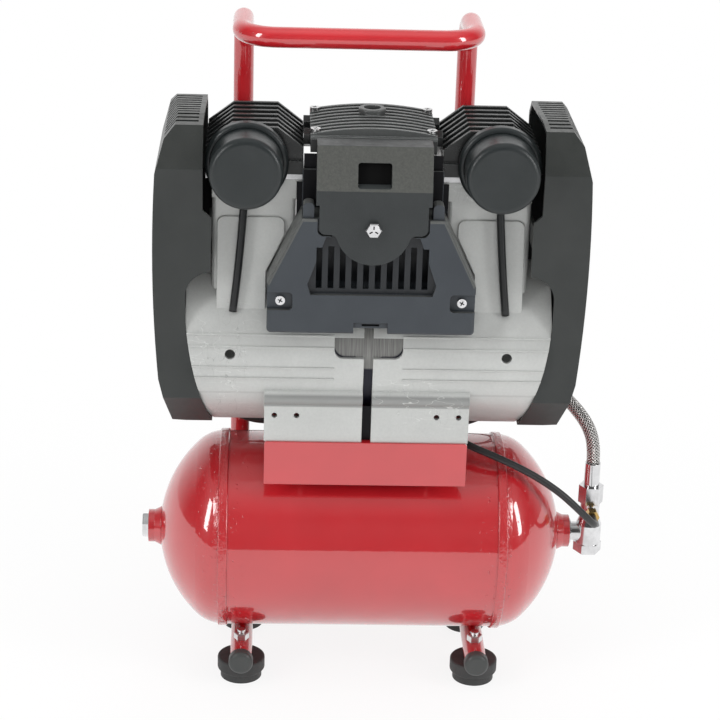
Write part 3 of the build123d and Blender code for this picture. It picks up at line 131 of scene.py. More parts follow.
class Finish(Kit):
    """A Principled material."""

    FLAT, SHARP = 0.99, 0.8  # cosine between the plain and the rounded normal
    OPEN, DEEP = 0.8, 0.4  # openness of a spot

    def __init__(self, name, colour, roughness, metallic=0.0, **sockets):
        self.mat = bpy.data.materials.new(name)
        self.mat.use_nodes = True
        super().__init__(self.mat.node_tree)
        self.shader = self.tree.nodes["Principled BSDF"]
        self.shader.inputs["Base Color"].default_value = (*colour, 1)
        self.shader.inputs["Roughness"].default_value = roughness
        self.shader.inputs["Metallic"].default_value = metallic
        for key, value in sockets.items():
            self.shader.inputs[key.replace("_", " ")].default_value = value
        self.coords = self.add("ShaderNodeTexCoord").outputs["Object"]

    def noise(self, scale, detail=3.0, roughness=0.55, stretch=None):
        """Noise of that many cells to the metre."""
        node = self.add("ShaderNodeTexNoise")
        node.inputs["Scale"].default_value = scale
        node.inputs["Detail"].default_value = detail
        node.inputs["Roughness"].default_value = roughness
        vector = self.coords
        if stretch:
            place = self.add("ShaderNodeMapping")
            place.inputs["Scale"].default_value = stretch
            self.put(vector, place.inputs["Vector"])
            vector = place.outputs["Vector"]
        self.put(vector, node.inputs["Vector"])
        return node.outputs["Fac"]

    def scratches(self, scale, stretch, width, thin):
        """Few fine lines where a drawn-out noise passes its middle."""
        away = self.math("ABSOLUTE", self.math("SUBTRACT", self.noise(scale, 2, 0.5, stretch), 0.5))
        patches = self.span(self.noise(11, 1), thin, thin + 0.06)
        return self.math("MULTIPLY", self.span(away, width, 0.0), patches)

    def edges(self, radius):
        """Share that rises on sharp edges, and the rounded normal."""
        bevel = self.add("ShaderNodeBevel", samples=4)
        self.put(radius, bevel.inputs["Radius"])
        flat = self.add("ShaderNodeNewGeometry").outputs["Normal"]
        dot = self.add("ShaderNodeVectorMath", operation="DOT_PRODUCT")
        self.put(bevel.outputs[0], dot.inputs[0])
        self.put(flat, dot.inputs[1])
        return self.span(dot.outputs["Value"], self.FLAT, self.SHARP), bevel.outputs[0]

    def recess(self, reach=0.012):
        """Share that rises deep in slots and between fins, for painted shade there."""
        node = self.add("ShaderNodeAmbientOcclusion", samples=4, only_local=True)
        node.inputs["Distance"].default_value = reach
        return self.span(node.outputs["AO"], self.OPEN, self.DEEP)

    def colour(self, socket):
        self.put(socket, self.shader.inputs["Base Color"])

    def rough(self, socket):
        self.put(socket, self.shader.inputs["Roughness"])

    def bump(self, height, strength, distance, normal=None, coat=False):
        node = self.add("ShaderNodeBump")
        node.inputs["Strength"].default_value = strength
        node.inputs["Distance"].default_value = distance
        self.put(height, node.inputs["Height"])
        if normal is not None:
            self.put(normal, node.inputs["Normal"])
        self.put(node.outputs[0], self.shader.inputs["Normal"])
        if coat:
            self.put(node.outputs[0], self.shader.inputs["Coat Normal"])


def paler(colour, times, more=0.0):
    return tuple(min(1, times * c + more) for c in colour)


def moulded(name, colour, lighter, roughness, grain, depth, wear_and_highlight=0.35, dust_and_top_light=0.0, recess_shade=0.0, grille_shade=0.0,
            crisp=0.0, level=1.0):
    """Moulded plastic or rubber: fine spark-eroded grain, faint flow marks, paler edges (wear and painted highlight), a
    pale dusting on top faces that also paints the light from above, and painted shade in recesses and on the grille.

    Edges above the height crisp are sharper. Level is the part of the pale dusting and painted light that lies on level
    faces.
    """
    f = Finish(name, colour, roughness)
    x, y, z = f.parts(f.coords)
    radius = f.span(z, crisp, crisp + CRISP_FADE, ROUND_EDGE, CRISP_EDGE) if crisp else SOFT_EDGE
    edge, rounded = f.edges(radius)
    tone = f.blend(f.span(f.noise(22, 2), *SPREAD), colour, lighter)
    fleck = f.span(f.noise(grain * 0.7, 2, 0.7), 0.56, 0.74, 0.0, 0.22)
    tone = f.blend(fleck, tone, paler(colour, 1.9, 0.004))
    # Upward faces take a pale tone, partly dust and partly painted light from above; level faces take only part of it
    if dust_and_top_light:
        _, _, rise = f.parts(f.add("ShaderNodeNewGeometry").outputs["Normal"])
        specks = f.span(f.noise(grain * 0.5, 3, 0.7), *SPREAD, 0.55, 1.0)
        dusted_and_lit = f.math("MULTIPLY", f.span(rise, 0.12, 0.3), specks)
        dusted_and_lit = f.math("MULTIPLY", dusted_and_lit, f.span(rise, 0.6, 0.9, 1.0, level))
        tone = f.blend(f.math("MULTIPLY", dusted_and_lit, dust_and_top_light), tone, DUST_AND_TOP_LIGHT)
    # Painted shade: the colour darkens deep in slots and recesses
    if recess_shade:
        tone = f.blend(f.math("MULTIPLY", f.recess(), recess_shade), tone, paler(colour, RECESS_SHADE))
    # Painted shade: the grille bars and the pocket behind them are darkened
    if grille_shade:
        inside = f.math("MULTIPLY", f.span(f.math("ABSOLUTE", x), *GRILLE_SIDE), f.span(y, *GRILLE_FRONT))
        between = f.math("MULTIPLY", f.span(z, *GRILLE_FOOT), f.span(z, *GRILLE_TOP))
        tone = f.blend(f.math("MULTIPLY", f.math("MULTIPLY", inside, between), grille_shade), tone, paler(colour, 0.2))
    # Paler edges: partly wear, partly a painted highlight
    f.colour(f.blend(f.math("MULTIPLY", edge, wear_and_highlight), tone, paler(colour, 2.4)))
    f.rough(f.span(f.noise(140, 4), *SPREAD, roughness - 0.06, roughness + 0.08))
    f.bump(f.noise(grain, 3, 0.6), depth, 0.0004, rounded)
    return f.mat


def cast(name, colour, darker, roughness, metallic, wear_and_highlight=0.4, times=1.3, marks=0.0, recess_shade=0.0, shade_band=0.0):
    """Blasted die casting: fine tooth, cloudy tone, paler edges (wear and painted highlight), a few handling marks,
    painted shade in recesses and a darker strip of painted shade on the brackets' feet.
    """
    f = Finish(name, colour, roughness, metallic)
    edge, rounded = f.edges(ROUND_EDGE)
    cloud = f.math("ADD", f.math("MULTIPLY", f.noise(14, 4), 0.6), f.math("MULTIPLY", f.noise(420, 3, 0.7), 0.4))
    tone = f.blend(f.span(cloud, 0.36, 0.64), darker, colour)
    # Painted shade: a darker strip across the brackets' feet, where their faces slant inwards
    if shade_band:
        _, y, z = f.parts(f.coords)
        between = f.math("MULTIPLY", f.span(z, *BAND_FOOT), f.span(z, *BAND_TOP))
        inside = f.math("MULTIPLY", f.span(f.math("ABSOLUTE", y), *BAND_FRONT), between)
        tone = f.blend(f.math("MULTIPLY", inside, shade_band), tone, paler(darker, 0.45))
    if marks:
        pale = f.math("MULTIPLY", f.scratches(26, (1, 1, 3.5), 0.006, 0.56), marks)
        dark = f.math("MULTIPLY", f.scratches(34, (3, 1, 1), 0.005, 0.6), marks)
        tone = f.blend(pale, tone, paler(colour, 1.25))
        tone = f.blend(dark, tone, paler(colour, 0.55))
    # Painted shade: the colour darkens deep in slots and between fins
    if recess_shade:
        tone = f.blend(f.math("MULTIPLY", f.recess(), recess_shade), tone, paler(colour, RECESS_SHADE))
    # Paler edges: partly wear, partly a painted highlight
    f.colour(f.blend(f.math("MULTIPLY", edge, wear_and_highlight), tone, paler(colour, times, 0.02)))
    f.rough(f.span(f.noise(60, 4), *SPREAD, roughness - 0.07, roughness + 0.07))
    f.bump(f.noise(1300, 3, 0.65), 0.16, 0.0003, rounded)
    return f.mat


def machined(name, colour, roughness, stretch, wear=0.06):
    """Turned or drawn metal with fine tool lines along one direction."""
    f = Finish(name, colour, roughness, 1.0)
    lines = f.noise(900, 2, 0.5, stretch)
    f.colour(f.blend(f.span(f.noise(70, 3), 0.35, 0.65), paler(colour, 0.8), colour))
    f.rough(f.span(lines, *SPREAD, roughness - wear, roughness + wear))
    f.bump(lines, 0.05, 0.0002, f.edges(FINE_EDGE)[1])
    return f.mat


def red_lacquer(name="red_lacquer", light=1.0):
    """Glossy powder coat: faint orange peel, rippled welds at the tank's seams and a deep clear top."""
    f = Finish(name, (0.47, 0.010, 0.016), 0.34, IOR=1.45, Coat_Weight=1.0, Coat_Roughness=0.045, Coat_IOR=1.9)
    # A light above 1 gives a paler copy of the same paint: painted light
    deep, bright = paler((0.43, 0.008, 0.013), light), paler((0.51, 0.012, 0.019), light)
    f.colour(f.blend(f.span(f.noise(9, 3), *SPREAD), deep, bright))
    f.rough(f.span(f.noise(40, 3), *SPREAD, 0.28, 0.40))
    x, _, _ = f.parts(f.coords)
    away = f.math("ABSOLUTE", f.math("SUBTRACT", f.math("ABSOLUTE", x), SEAM_X))
    weld = f.math("MULTIPLY", f.span(away, *WELD), f.math("MULTIPLY", f.noise(230, 3, 0.6), 1.7))
    spatter = f.math("MULTIPLY", f.span(away, *SPATTER), f.span(f.noise(330, 1), 0.69, 0.8))
    peel = f.math("MULTIPLY", f.noise(250, 2, 0.4), 0.04)
    height = f.math("ADD", peel, f.math("ADD", weld, f.math("MULTIPLY", spatter, 1.2)))
    f.bump(height, 0.8, 0.0009, f.edges(SOFT_EDGE)[1], coat=True)
    return f.mat


def braid():
    """Woven steel braid: two crossing families of wires round the hose."""
    f = Finish("steel_braid", (0.62, 0.60, 0.58), 0.3, 1.0)
    along, around, _ = f.parts(f.add("ShaderNodeTexCoord").outputs["UV"])
    wires_round, wires_to_metre = 12.0, 330.0
    around = f.math("MULTIPLY", around, wires_round)
    along = f.math("MULTIPLY", along, wires_to_metre)
    right = f.math("ADD", around, along)
    one = f.math("SINE", f.math("MULTIPLY", right, TURN))
    two = f.math("SINE", f.math("MULTIPLY", f.math("SUBTRACT", around, along), TURN))
    strands = f.math("MULTIPLY", f.math("SINE", f.math("MULTIPLY", right, 4 * TURN)), 0.15)
    height = f.math("ADD", f.math("MAXIMUM", one, two), strands)
    # Darker between the wires and paler on their crowns: painted shade and a painted highlight
    f.colour(f.blend(f.span(height, -0.6, 0.9), (0.10, 0.095, 0.09), (0.80, 0.78, 0.76)))
    f.rough(f.span(height, -0.5, 1.0, 0.5, 0.22))
    f.bump(height, 0.7, 0.0007)
    return f.mat


def motor_core():
    """Stacked core: bare ground steel above a rounded lip, and below it near-black, partly a varnished coat and partly
    painted shade.
    """
    f = Finish("motor_core", (0.35, 0.35, 0.34), 0.45, 0.3)
    x, _, z = f.parts(f.coords)
    side = f.math("ABSOLUTE", x)
    sheets = f.noise(1100, 2, 0.5, (1, 0.03, 0.03))
    bare = f.blend(f.span(sheets, 0.35, 0.65), (0.15, 0.15, 0.145), (0.25, 0.25, 0.24))
    # Near-black below the lip: partly a varnished coat, partly painted shade in the slot and under the lip
    varnish_and_shade = f.blend(f.span(sheets, 0.35, 0.65), (0.008, 0.008, 0.016), (0.014, 0.014, 0.026))
    bend = f.span(side, *LIP_BEND)
    rise = f.math("SUBTRACT", 1.0, f.math("SQRT", f.math("SUBTRACT", 1.0, f.math("MULTIPLY", bend, bend))))
    lip = f.math("ADD", f.span(side, *LIP_STEP, *LIP_HEIGHT), f.math("MULTIPLY", rise, LIP_RISE))
    f.colour(f.blend(f.span(f.math("SUBTRACT", z, lip), -LIP_BLUR, LIP_BLUR), varnish_and_shade, bare))
    f.rough(f.span(sheets, *SPREAD, 0.4, 0.55))
    f.bump(sheets, 0.15, 0.0003)
    return f.mat


def plain(name, colour, roughness, **sockets):
    """Printed or painted face with a little unevenness."""
    f = Finish(name, colour, roughness, **sockets)
    f.colour(f.blend(f.span(f.noise(300, 3), *SPREAD), paler(colour, 0.93), colour))
    f.rough(f.span(f.noise(120, 3), *SPREAD, roughness - 0.04, roughness + 0.04))
    return f.mat


# One finish to a material slot, and those of single nodes that differ from their slot's
finishes = {
    "red_paint": red_lacquer(),
    "cast_aluminium": cast(
        "blasted_aluminium", (0.55, 0.56, 0.545), (0.48, 0.49, 0.478), 0.42, 0.35, marks=0.8, shade_band=0.75
    ),
    "plain_aluminium": machined("turned_aluminium", (0.72, 0.72, 0.73), 0.3, (1, 1, 0.06)),
    "black_casting": cast(
        "black_casting", (0.017, 0.018, 0.018), (0.010, 0.011, 0.011), 0.30, 0.0, 0.85, 8.0, recess_shade=0.7
    ),
    "cover_plastic": moulded(
        "cover_plastic", (0.020, 0.023, 0.022), (0.026, 0.029, 0.028), 0.35, 1500, 0.14,
        dust_and_top_light=0.12, recess_shade=0.95, crisp=0.545
    ),
    "shroud_plastic": moulded(
        "shroud_plastic", (0.030, 0.036, 0.044), (0.036, 0.043, 0.051), 0.38, 1500, 0.12,
        dust_and_top_light=0.5, recess_shade=0.8, grille_shade=0.8
    ),
    "black_plastic": moulded("black_plastic", (0.020, 0.020, 0.021), (0.026, 0.026, 0.027), 0.40, 1200, 0.1),
    "knob_red": moulded("knob_red", (0.45, 0.012, 0.012), (0.52, 0.02, 0.02), 0.35, 1200, 0.06),
    "rubber": moulded("black_rubber", (0.030, 0.031, 0.031), (0.042, 0.043, 0.043), 0.58, 700, 0.2),
    "chrome": machined("plated_steel", (0.80, 0.80, 0.81), 0.16, (1, 1, 0.1)),
    "steel": machined("bright_steel", (0.58, 0.58, 0.59), 0.3, (0.06, 1, 1)),
    "iron": cast("grey_iron", (0.20, 0.20, 0.21), (0.13, 0.13, 0.14), 0.5, 0.6),
    "copper_wire": machined("copper_wire", (0.62, 0.27, 0.12), 0.32, (0.1, 1, 1)),
    "brass": machined("turned_brass", (0.66, 0.44, 0.16), 0.27, (1, 1, 0.08)),
    "filter_foam": moulded("filter_foam", (0.55, 0.52, 0.44), (0.62, 0.60, 0.52), 0.9, 400, 0.5),
}
special = {
    "switch_box": moulded(
        "box_plastic", (0.020, 0.0235, 0.0245), (0.025, 0.029, 0.030), 0.40, 950, 0.3, 0.5,
        dust_and_top_light=0.44, recess_shade=0.8, level=0.1
    ),
    "manifold_lid": cast("lid_casting", (0.097, 0.102, 0.101), (0.074, 0.078, 0.077), 0.34, 0.0, 0.8, 2.6, recess_shade=0.9),
    "leg_end_caps": moulded("cap_plastic", (0.042, 0.046, 0.045), (0.052, 0.056, 0.055), 0.42, 1200, 0.1),
    "stator": motor_core(),
    # The handle gets the same lacquer made paler: painted light, for the extra light it catches
    "handle": red_lacquer("handle_lacquer_painted_light", 1.08),
}
zinc = machined("zinc_plate", (0.82, 0.82, 0.82), 0.32, (1, 1, 0.1))
muffler = moulded("muffler_plastic", (0.014, 0.018, 0.0185), (0.019, 0.023, 0.024), 0.34, 1500, 0.12, 0.6)
special.update(dict.fromkeys(("foot_fasteners", "head_bolts"), zinc))
special.update(dict.fromkeys(("muffler_bases", "muffler_cap_left", "muffler_cap_right"), muffler))
for part in frame["record"]["subparts"]:
    node = nodes[part["node"]]
    node.data.materials.clear()
    node.data.materials.append(special.get(part["node"]) or finishes[part["material_slot"]])


# Pieces
def keep(mesh, name, slot, body="base", finish=None, smooth=True):
    """Put a mesh in the scene on its body with its finish."""
    obj = bpy.data.objects.new(name, mesh)
    scene.collection.objects.link(obj)
    mesh.materials.append(finish or finishes[slot])
    if smooth:
        mesh.shade_smooth()
    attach(obj, body)
    return obj


def finished(bm, name):
    """Mesh made from a bmesh, which is let go."""
    mesh = bpy.data.meshes.new(name)
    bm.to_mesh(mesh)
    bm.free()
    return mesh


def line_of(curve):
    """Mesh of a curve or text that isn't kept."""
    holder = bpy.data.objects.new("line", curve)
    scene.collection.objects.link(holder)
    mesh = bpy.data.meshes.new_from_object(holder)
    bpy.data.objects.remove(holder)
    return mesh


def smooth_line(points):
    """Points read from the NURBS spline that has the route as its control points."""
    curve = bpy.data.curves.new("route", "CURVE")
    curve.dimensions = "3D"
    curve.resolution_u = 10
    spline = curve.splines.new("NURBS")
    spline.points.add(len(points) - 1)
    for knot, place in zip(spline.points, points):
        knot.co = (*place, 1)
    spline.order_u = 3
    spline.use_endpoint_u = True
    line = line_of(curve)
    places = [v.co.copy() for v in line.vertices]
    bpy.data.meshes.remove(line)
    return places


def tube_mesh(name, places, r, sides=20):
    """Round tube along the places, with length and turn kept as its UV."""
    bm = bmesh.new()
    layer = bm.loops.layers.uv.new("along")
    lengths = [0.0]
    for one, two in zip(places, places[1:]):
        lengths.append(lengths[-1] + (two - one).length)
    side = None
    rings = []
    turns = [TURN * j / sides for j in range(sides)]
    for k, place in enumerate(places):
        ahead = (places[min(k + 1, len(places) - 1)] - places[max(k - 1, 0)]).normalized()
        if side is None:
            side = ahead.orthogonal().normalized()
        side = (side - ahead * side.dot(ahead)).normalized()
        other = ahead.cross(side)
        rings.append([bm.verts.new(place + r * (math.cos(t) * side + math.sin(t) * other)) for t in turns])
    for k in range(len(rings) - 1):
        for j in range(sides):
            n = (j + 1) % sides
            face = bm.faces.new((rings[k][j], rings[k][n], rings[k + 1][n], rings[k + 1][j]))
            marks = ((k, j), (k, j + 1), (k + 1, j + 1), (k + 1, j))
            for loop, (row, turn) in zip(face.loops, marks):
                loop[layer].uv = (lengths[row], turn / sides)
    bm.faces.new(reversed(rings[0]))
    bm.faces.new(rings[-1])
    return finished(bm, name), lengths[-1]


def hose(name, route, r, slot, finish=None):
    """A hose or lead held between two fittings."""
    places = smooth_line([Vector(p) / 1000 for p in route])
    mesh, length = tube_mesh(name, places, r / 1000)
    obj = keep(mesh, name, slot, finish=finish)
    return obj


def mirrored(route):
    return [(-x, y, z) for x, y, z in route]


# Routes of the hoses and leads, in millimetres
hose_route = [
    (226.5, 0, 208), (226.5, 0, 225), (221, 5.5, 243), (210.5, 16, 256), (199, 30, 264), (193, 47, 269),
    (187, 65, 274), (174.5, 81.5, 284.5), (159, 92.5, 301), (145.5, 96.5, 323), (135.5, 95, 350), (128, 90.5, 380),
    (120, 85, 409), (109, 78, 436), (93.5, 70, 462), (75.06, 63.33, 486.47), (55.18, 60.54, 508.76),
]
unloader_route = [
    (226.5, -22.5, 159), (226.5, -36, 159), (225, -47, 163), (217, -55, 173), (204, -58, 187), (186, -57, 203),
    (160, -53, 219), (130, -48, 232), (102, -38, 240), (82, -18, 243), (76, 10, 243), (76, 40, 232), (75, 66, 213),
    (75, 88, 200), (74, 106, 195), (68, 121, 194), (56, 129, 196), (41, 129, 196),
]
lead_route = [
    (101, 60, 272), (117, 60, 271.5), (132, 65, 259), (137, 75, 239), (127, 84.5, 221.5), (110, 83, 214), (92, 83, 212),
    (77, 94, 211), (71, 114, 212), (58, 130, 214), (38, 130, 214),
]
breather_route = [(116, -56.5, 483.7), (119, -63.8, 434), (125, -66.5, 384)]

breather_rubber = moulded("breather_rubber", (0.007, 0.008, 0.0085), (0.011, 0.012, 0.0125), 0.34, 700, 0.12)
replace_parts(hose("hose_braid", hose_route, 6.5, "steel", braid()), "braided_hose")
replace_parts(hose("unloader_line", unloader_route, 3.5, "black_plastic"), "unloader_tube")
for side, route in (("right", lead_route), ("left", mirrored(lead_route))):
    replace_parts(hose("lead_" + side, route, 3.5, "rubber"), "leads")
for side, route in (("right", breather_route), ("left", mirrored(breather_route))):
    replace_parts(hose("breather_" + side, route, 3.6, "rubber", breather_rubber), "breather_tubes")


# Small detail
def solids_of(name):
    """Lowest and highest corners of each solid in a node."""
    bm = bmesh.new()
    bm.from_mesh(nodes[name].data)
    bmesh.ops.remove_doubles(bm, verts=bm.verts, dist=1e-6)
    left = set(bm.verts)
    boxes = []
    while left:
        open_ends = [left.pop()]
        found = []
        while open_ends:
            v = open_ends.pop()
            found.append(v.co.copy())
            for e in v.link_edges:
                o = e.other_vert(v)
                if o in left:
                    left.remove(o)
                    open_ends.append(o)
        low = Vector([min(p[k] for p in found) for k in range(3)])
        high = Vector([max(p[k] for p in found) for k in range(3)])
        boxes.append((low, high))
    bm.free()
    return sorted(boxes, key=lambda b: [round(c, 4) for c in (*b[0], *b[1])])


def facing(place, out, up):
    """Frame at a place that looks along out, with up as its second axis."""
    out = Vector(out).normalized()
    side = Vector(up).cross(out).normalized()
    turn = Matrix((side, out.cross(side), out)).transposed()
    return Matrix.Translation(place) @ turn.to_4x4()


def prism(bm, corners, place, low, high):
    """Straight prism over corners in millimetres, from low to high along the frame's third axis."""
    ends = []
    for level in (low, high):
        ends.append([bm.verts.new(place @ (Vector((x, y, level)) / 1000)) for x, y in corners])
    bm.faces.new(reversed(ends[0]))
    bm.faces.new(ends[1])
    count = len(corners)
    for k in range(count):
        n = (k + 1) % count
        bm.faces.new((ends[0][k], ends[0][n], ends[1][n], ends[1][k]))


def round_corners(r, count=48):
    return [(r * math.cos(TURN * k / count), r * math.sin(TURN * k / count)) for k in range(count)]


def bar(x0, x1, half, turn=0.0):
    """Corners of a bar along the first axis, turned."""
    c, s = math.cos(turn), math.sin(turn)
    return [(x * c - y * s, x * s + y * c) for x, y in ((x0, -half), (x1, -half), (x1, half), (x0, half))]


# Near-black finish for pieces that stand for painted shade
dark = plain("painted_shade_black", (0.003, 0.003, 0.003), 0.7, Specular_IOR_Level=0.1)
shade_plate_black = plain("shade_plate_black", (0.006, 0.006, 0.008), 0.6, Specular_IOR_Level=0.3)
enamel = plain("dial_enamel", (0.82, 0.82, 0.80), 0.45)
print_ink = plain("dial_ink", (0.015, 0.015, 0.016), 0.5)
needle_red = plain("needle_red", (0.55, 0.02, 0.02), 0.4)
glass = Finish("dial_glass", (1, 1, 1), 0.03, IOR=1.49, Transmission_Weight=1.0)
glass.rough(glass.span(glass.noise(60), *SPREAD, 0.02, 0.06))

# Window of the electrical box: a near-black pane at its back as painted shade and a sloped sill; half sizes in
# millimetres
window_x, window_z = 14.9, 11.4
lean = math.atan2(12, 38.5)
window = facing(Vector((0, -90.8, 522)) / 1000, (0, -math.cos(lean), math.sin(lean)), (0, 0, 1))
bm = bmesh.new()
prism(bm, bar(-window_x, window_x, window_z), window, -6.35, -6.15)
keep(finished(bm, "window_shade"), "window_shade", "black_plastic", finish=dark, smooth=False)
across = Matrix((window.col[1], window.col[2], window.col[0], window.col[3])).transposed()
bm = bmesh.new()
prism(bm, [(-window_z, -6.1), (-7.2, -6.1), (-window_z, -0.5)], across, -window_x, window_x)
keep(finished(bm, "window_sill"), "window_sill", "cover_plastic", finish=special["switch_box"], smooth=False)

# Black plates put where there is only shade, as painted shade: in the gaps behind the box, behind the slot between the
# brackets and beside the columns.
# Each has its corners (x, z) and how far forward its back and front are, in millimetres.
behind_box = [
    (-68.8, 404), (68.8, 404), (68.8, 504), (62.6, 504), (62.6, 530.5), (-62.6, 530.5), (-62.6, 504), (-68.8, 504),
]
before_baffle = [(-62.8, 482.3), (62.8, 482.3), (62.8, 516.9), (-62.8, 516.9)]
behind_slot = [
    (-4.2, 260.05), (4.2, 260.05), (4.2, 266.2), (9, 266.2), (9, 294), (-9, 294), (-9, 266.2), (-4.2, 266.2),
]
beside_right = [(145.2, 417), (188, 417), (190, 500), (145.2, 500)]
beside_left = [(-x, z) for x, z in reversed(beside_right)]
plates = [
    (behind_box, 51.9, 53.9), (before_baffle, 57.1, 58.2), (behind_slot, 70.7, 71.9), (beside_left, 0, 2),
    (beside_right, 0, 2),
]
forward = facing(Vector((0, 0, 0)), (0, -1, 0), (0, 0, 1))
bm = bmesh.new()
for corners, low, high in plates:
    prism(bm, corners, forward, low, high)
keep(finished(bm, "shade_plates"), "shade_plates", "black_plastic", finish=shade_plate_black, smooth=False)

# Cross recesses in the screws that face forward or up, and grade lines on the box bolt, as thin near-black pieces of
# painted shade
slender = 1.4  # a screw lies along an axis when it is this many times longer than wide
front_screws = [
    (low, high) for low, high in solids_of("case_screws") if high.y - low.y > slender * (high.z - low.z)
]
lid_low, lid_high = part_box("manifold_lid")
lid_screws = [
    (low, high) for low, high in solids_of("head_bolts")
    if lid_low[0] < (low.x + high.x) / 2 < lid_high[0] and high.z - low.z > slender * (high.x - low.x)
]
seats = [facing(Vector(((a.x + b.x) / 2, a.y, (a.z + b.z) / 2)), (0, -1, 0), (0.5, 0, 1)) for a, b in front_screws]
seats += [facing(Vector(((a.x + b.x) / 2, (a.y + b.y) / 2, b.z)), (0, 0, 1), (0.4, 1, 0)) for a, b in lid_screws]
arm, half = 2.3, 0.5
cross = [
    (half, half), (half, arm), (-half, arm), (-half, half), (-arm, half), (-arm, -half), (-half, -half),
    (-half, -arm), (half, -arm), (half, -half), (arm, -half), (arm, half),
]
bm = bmesh.new()
for seat in seats:
    prism(bm, cross, seat, -0.2, 0.06)
keep(finished(bm, "screw_recesses"), "screw_recesses", "black_plastic", finish=dark, smooth=False)

bolt_low, bolt_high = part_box("box_bolt")
bolt_face = Vector(((bolt_low[0] + bolt_high[0]) / 2, bolt_low[1], (bolt_low[2] + bolt_high[2]) / 2))
bolt_place = facing(bolt_face, (0, -1, 0), (0, 0, 1))
bm = bmesh.new()
for k in range(3):
    prism(bm, bar(1.4, 4.4, 0.55, TURN / 4 + TURN * k / 3), bolt_place, -0.2, 0.3)
keep(finished(bm, "bolt_marks"), "bolt_marks", "black_plastic", finish=dark, smooth=False)


# Gauge faces: ticks, numbers, needle and glass
def number_mesh(text, size):
    curve = bpy.data.curves.new("number", "FONT")
    curve.body = text
    curve.size = size
    curve.align_x = "CENTER"
    curve.align_y = "CENTER"
    return line_of(curve)


dial_start, dial_sweep = 225, 270  # degrees
ticks, long_every, numbers = 40, 5, 4  # steps of the scale
faces, inks, needles, panes = (bmesh.new() for _ in range(4))
for (low, high), most in zip(solids_of("gauges"), (16, 12)):
    seat = facing(Vector(((low.x + high.x) / 2, high.y - 0.002, (low.z + high.z) / 2)), (0, 1, 0), (0, 0, 1))
    prism(faces, round_corners(17.9), seat, 0.0, 0.3)
    prism(panes, round_corners(17.7, 64), seat, 1.1, 1.7)
    for k in range(ticks + 1):
        inner, half = (13.4, 0.28) if k % long_every == 0 else (14.8, 0.13)
        turn = math.radians(dial_start - dial_sweep * k / ticks)
        prism(inks, bar(inner, 16.4, half, turn), seat, 0.25, 0.36)
    for k in range(numbers + 1):
        turn = math.radians(dial_start - dial_sweep * k / numbers)
        mesh = number_mesh(str(most * k // numbers), 0.0048)
        spot = Vector((10.2 * math.cos(turn), 10.2 * math.sin(turn), 0.36)) / 1000
        mesh.transform(seat @ Matrix.Translation(spot))
        inks.from_mesh(mesh)
        bpy.data.meshes.remove(mesh)
    prism(needles, bar(-4.5, 13.5, 0.45, math.radians(dial_start)), seat, 0.6, 0.8)
    prism(needles, round_corners(2.1, 24), seat, 0.5, 1.0)
keep(finished(faces, "dial_faces"), "dial_faces", "black_plastic", finish=enamel, smooth=False)
keep(finished(inks, "dial_marks"), "dial_marks", "black_plastic", finish=print_ink, smooth=False)
keep(finished(needles, "dial_needles"), "dial_needles", "knob_red", finish=needle_red, smooth=False)
keep(finished(panes, "dial_panes"), "dial_panes", "chrome", finish=glass.mat, smooth=False)


# Stage, light and camera
def pale_floor():
    """Floor that shows white to the camera and in reflections, and takes the shadow near the object."""
    mat = bpy.data.materials.new("pale_floor")
    mat.use_nodes = True
    kit = Kit(mat.node_tree)
    shader = kit.tree.nodes["Principled BSDF"]
    shader.inputs["Base Color"].default_value = (0.9, 0.9, 0.9, 1)
    shader.inputs["Roughness"].default_value = 0.9
    way = kit.add("ShaderNodeLightPath").outputs
    x, y, _ = kit.parts(kit.add("ShaderNodeTexCoord").outputs["Object"])
    far = kit.math("SQRT", kit.math("ADD", kit.math("MULTIPLY", x, x), kit.math("MULTIPLY", y, y)))
    share = kit.span(far, 0.25, 0.8, 0.86, 1.0)
    mix = kit.add("ShaderNodeMixShader")
    seen = kit.math("MAXIMUM", way["Is Camera Ray"], way["Is Glossy Ray"])
    kit.put(kit.math("MULTIPLY", seen, share), mix.inputs[0])
    kit.put(shader.outputs[0], mix.inputs[1])
    kit.put(kit.add("ShaderNodeEmission").outputs[0], mix.inputs[2])
    kit.put(mix.outputs[0], kit.tree.nodes["Material Output"].inputs[0])
    return mat


bm = bmesh.new()
bmesh.ops.create_grid(bm, x_segments=8, y_segments=8, size=6)
floor_mesh = finished(bm, "floor")
floor = bpy.data.objects.new("floor", floor_mesh)
scene.collection.objects.link(floor)
floor_mesh.materials.append(pale_floor())

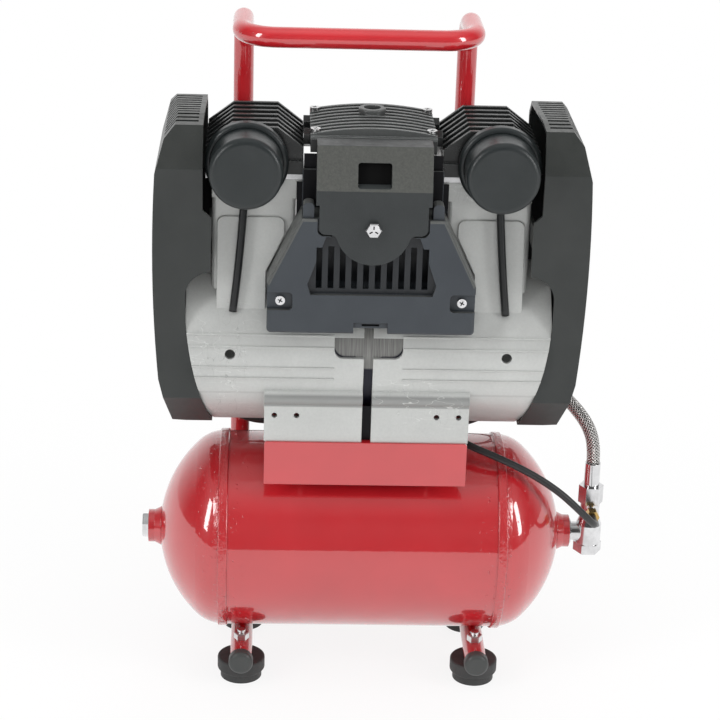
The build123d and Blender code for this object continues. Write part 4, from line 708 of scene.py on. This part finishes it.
world = bpy.data.worlds.new("studio")
scene.world = world
world.use_nodes = True
sky = Kit(world.node_tree)
way = sky.add("ShaderNodeLightPath").outputs
_, y, z = sky.parts(sky.add("ShaderNodeTexCoord").outputs["Generated"])
dim, fill = 0.08, 0.50
shine = sky.math("MAXIMUM", sky.span(z, 0.6, 1.0, dim, 0.55), sky.span(y, 0.25, 0.85, dim, 1.0))
seen = sky.math("MAXIMUM", way["Is Camera Ray"], way["Is Transmission Ray"])
strength = sky.choose(seen, sky.choose(way["Is Glossy Ray"], fill, shine), 1.0)
sky.put(strength, sky.tree.nodes["Background"].inputs["Strength"])
sky.put((1, 1, 1), sky.tree.nodes["Background"].inputs["Color"])


def lamp(name, place, target, width, height, power, mirrored_in=True):
    """Soft box aimed at a point."""
    light = bpy.data.lights.new(name, "AREA")
    light.shape = "RECTANGLE"
    light.size = width
    light.size_y = height
    light.energy = power
    obj = bpy.data.objects.new(name, light)
    scene.collection.objects.link(obj)
    obj.location = place
    aim = Vector(target) - Vector(place)
    obj.rotation_mode = "QUATERNION"
    obj.rotation_quaternion = aim.to_track_quat("-Z", "Y")
    obj.visible_glossy = mirrored_in


lamp("key_left", (-1.75, -1.3, 1.3), (0, 0, 0.3), 0.45, 1.4, 18)
lamp("key_right", (1.85, -1.1, 1.2), (0, 0, 0.3), 0.45, 1.4, 18)
lamp("top", (0.0, -0.2, 2.2), (0, 0, 0.3), 1.8, 1.4, 16, False)
lamp("front", (0.1, -2.4, 1.2), (0, 0, 0.4), 1.6, 1.2, 12, False)
lamp("back", (0.3, 1.9, 1.5), (0, 0, 0.3), 1.2, 1.2, 9, False)

# The camera is set to see the object as the photograph does
image_side, focal_length = 720, 2200  # pixels
camera = bpy.data.cameras.new("camera")
camera.sensor_width = 36
camera.lens = focal_length / image_side * camera.sensor_width
camera.dof.use_dof = False
eye = bpy.data.objects.new("camera", camera)
scene.collection.objects.link(eye)
pitch, yaw, roll = (math.radians(a) for a in (21.489, 2.468, 1.811))
sight = Vector((math.sin(yaw) * math.cos(pitch), math.cos(yaw) * math.cos(pitch), -math.sin(pitch)))
level = Vector((math.cos(yaw), -math.sin(yaw), 0))
up = level.cross(sight)
right = math.cos(roll) * level + math.sin(roll) * up
top = math.cos(roll) * up - math.sin(roll) * level
turn = Matrix((right, top, -sight)).transposed()
eye.matrix_world = Matrix.Translation((-0.08869, -1.95452, 1.08185)) @ turn.to_4x4()
scene.camera = eye
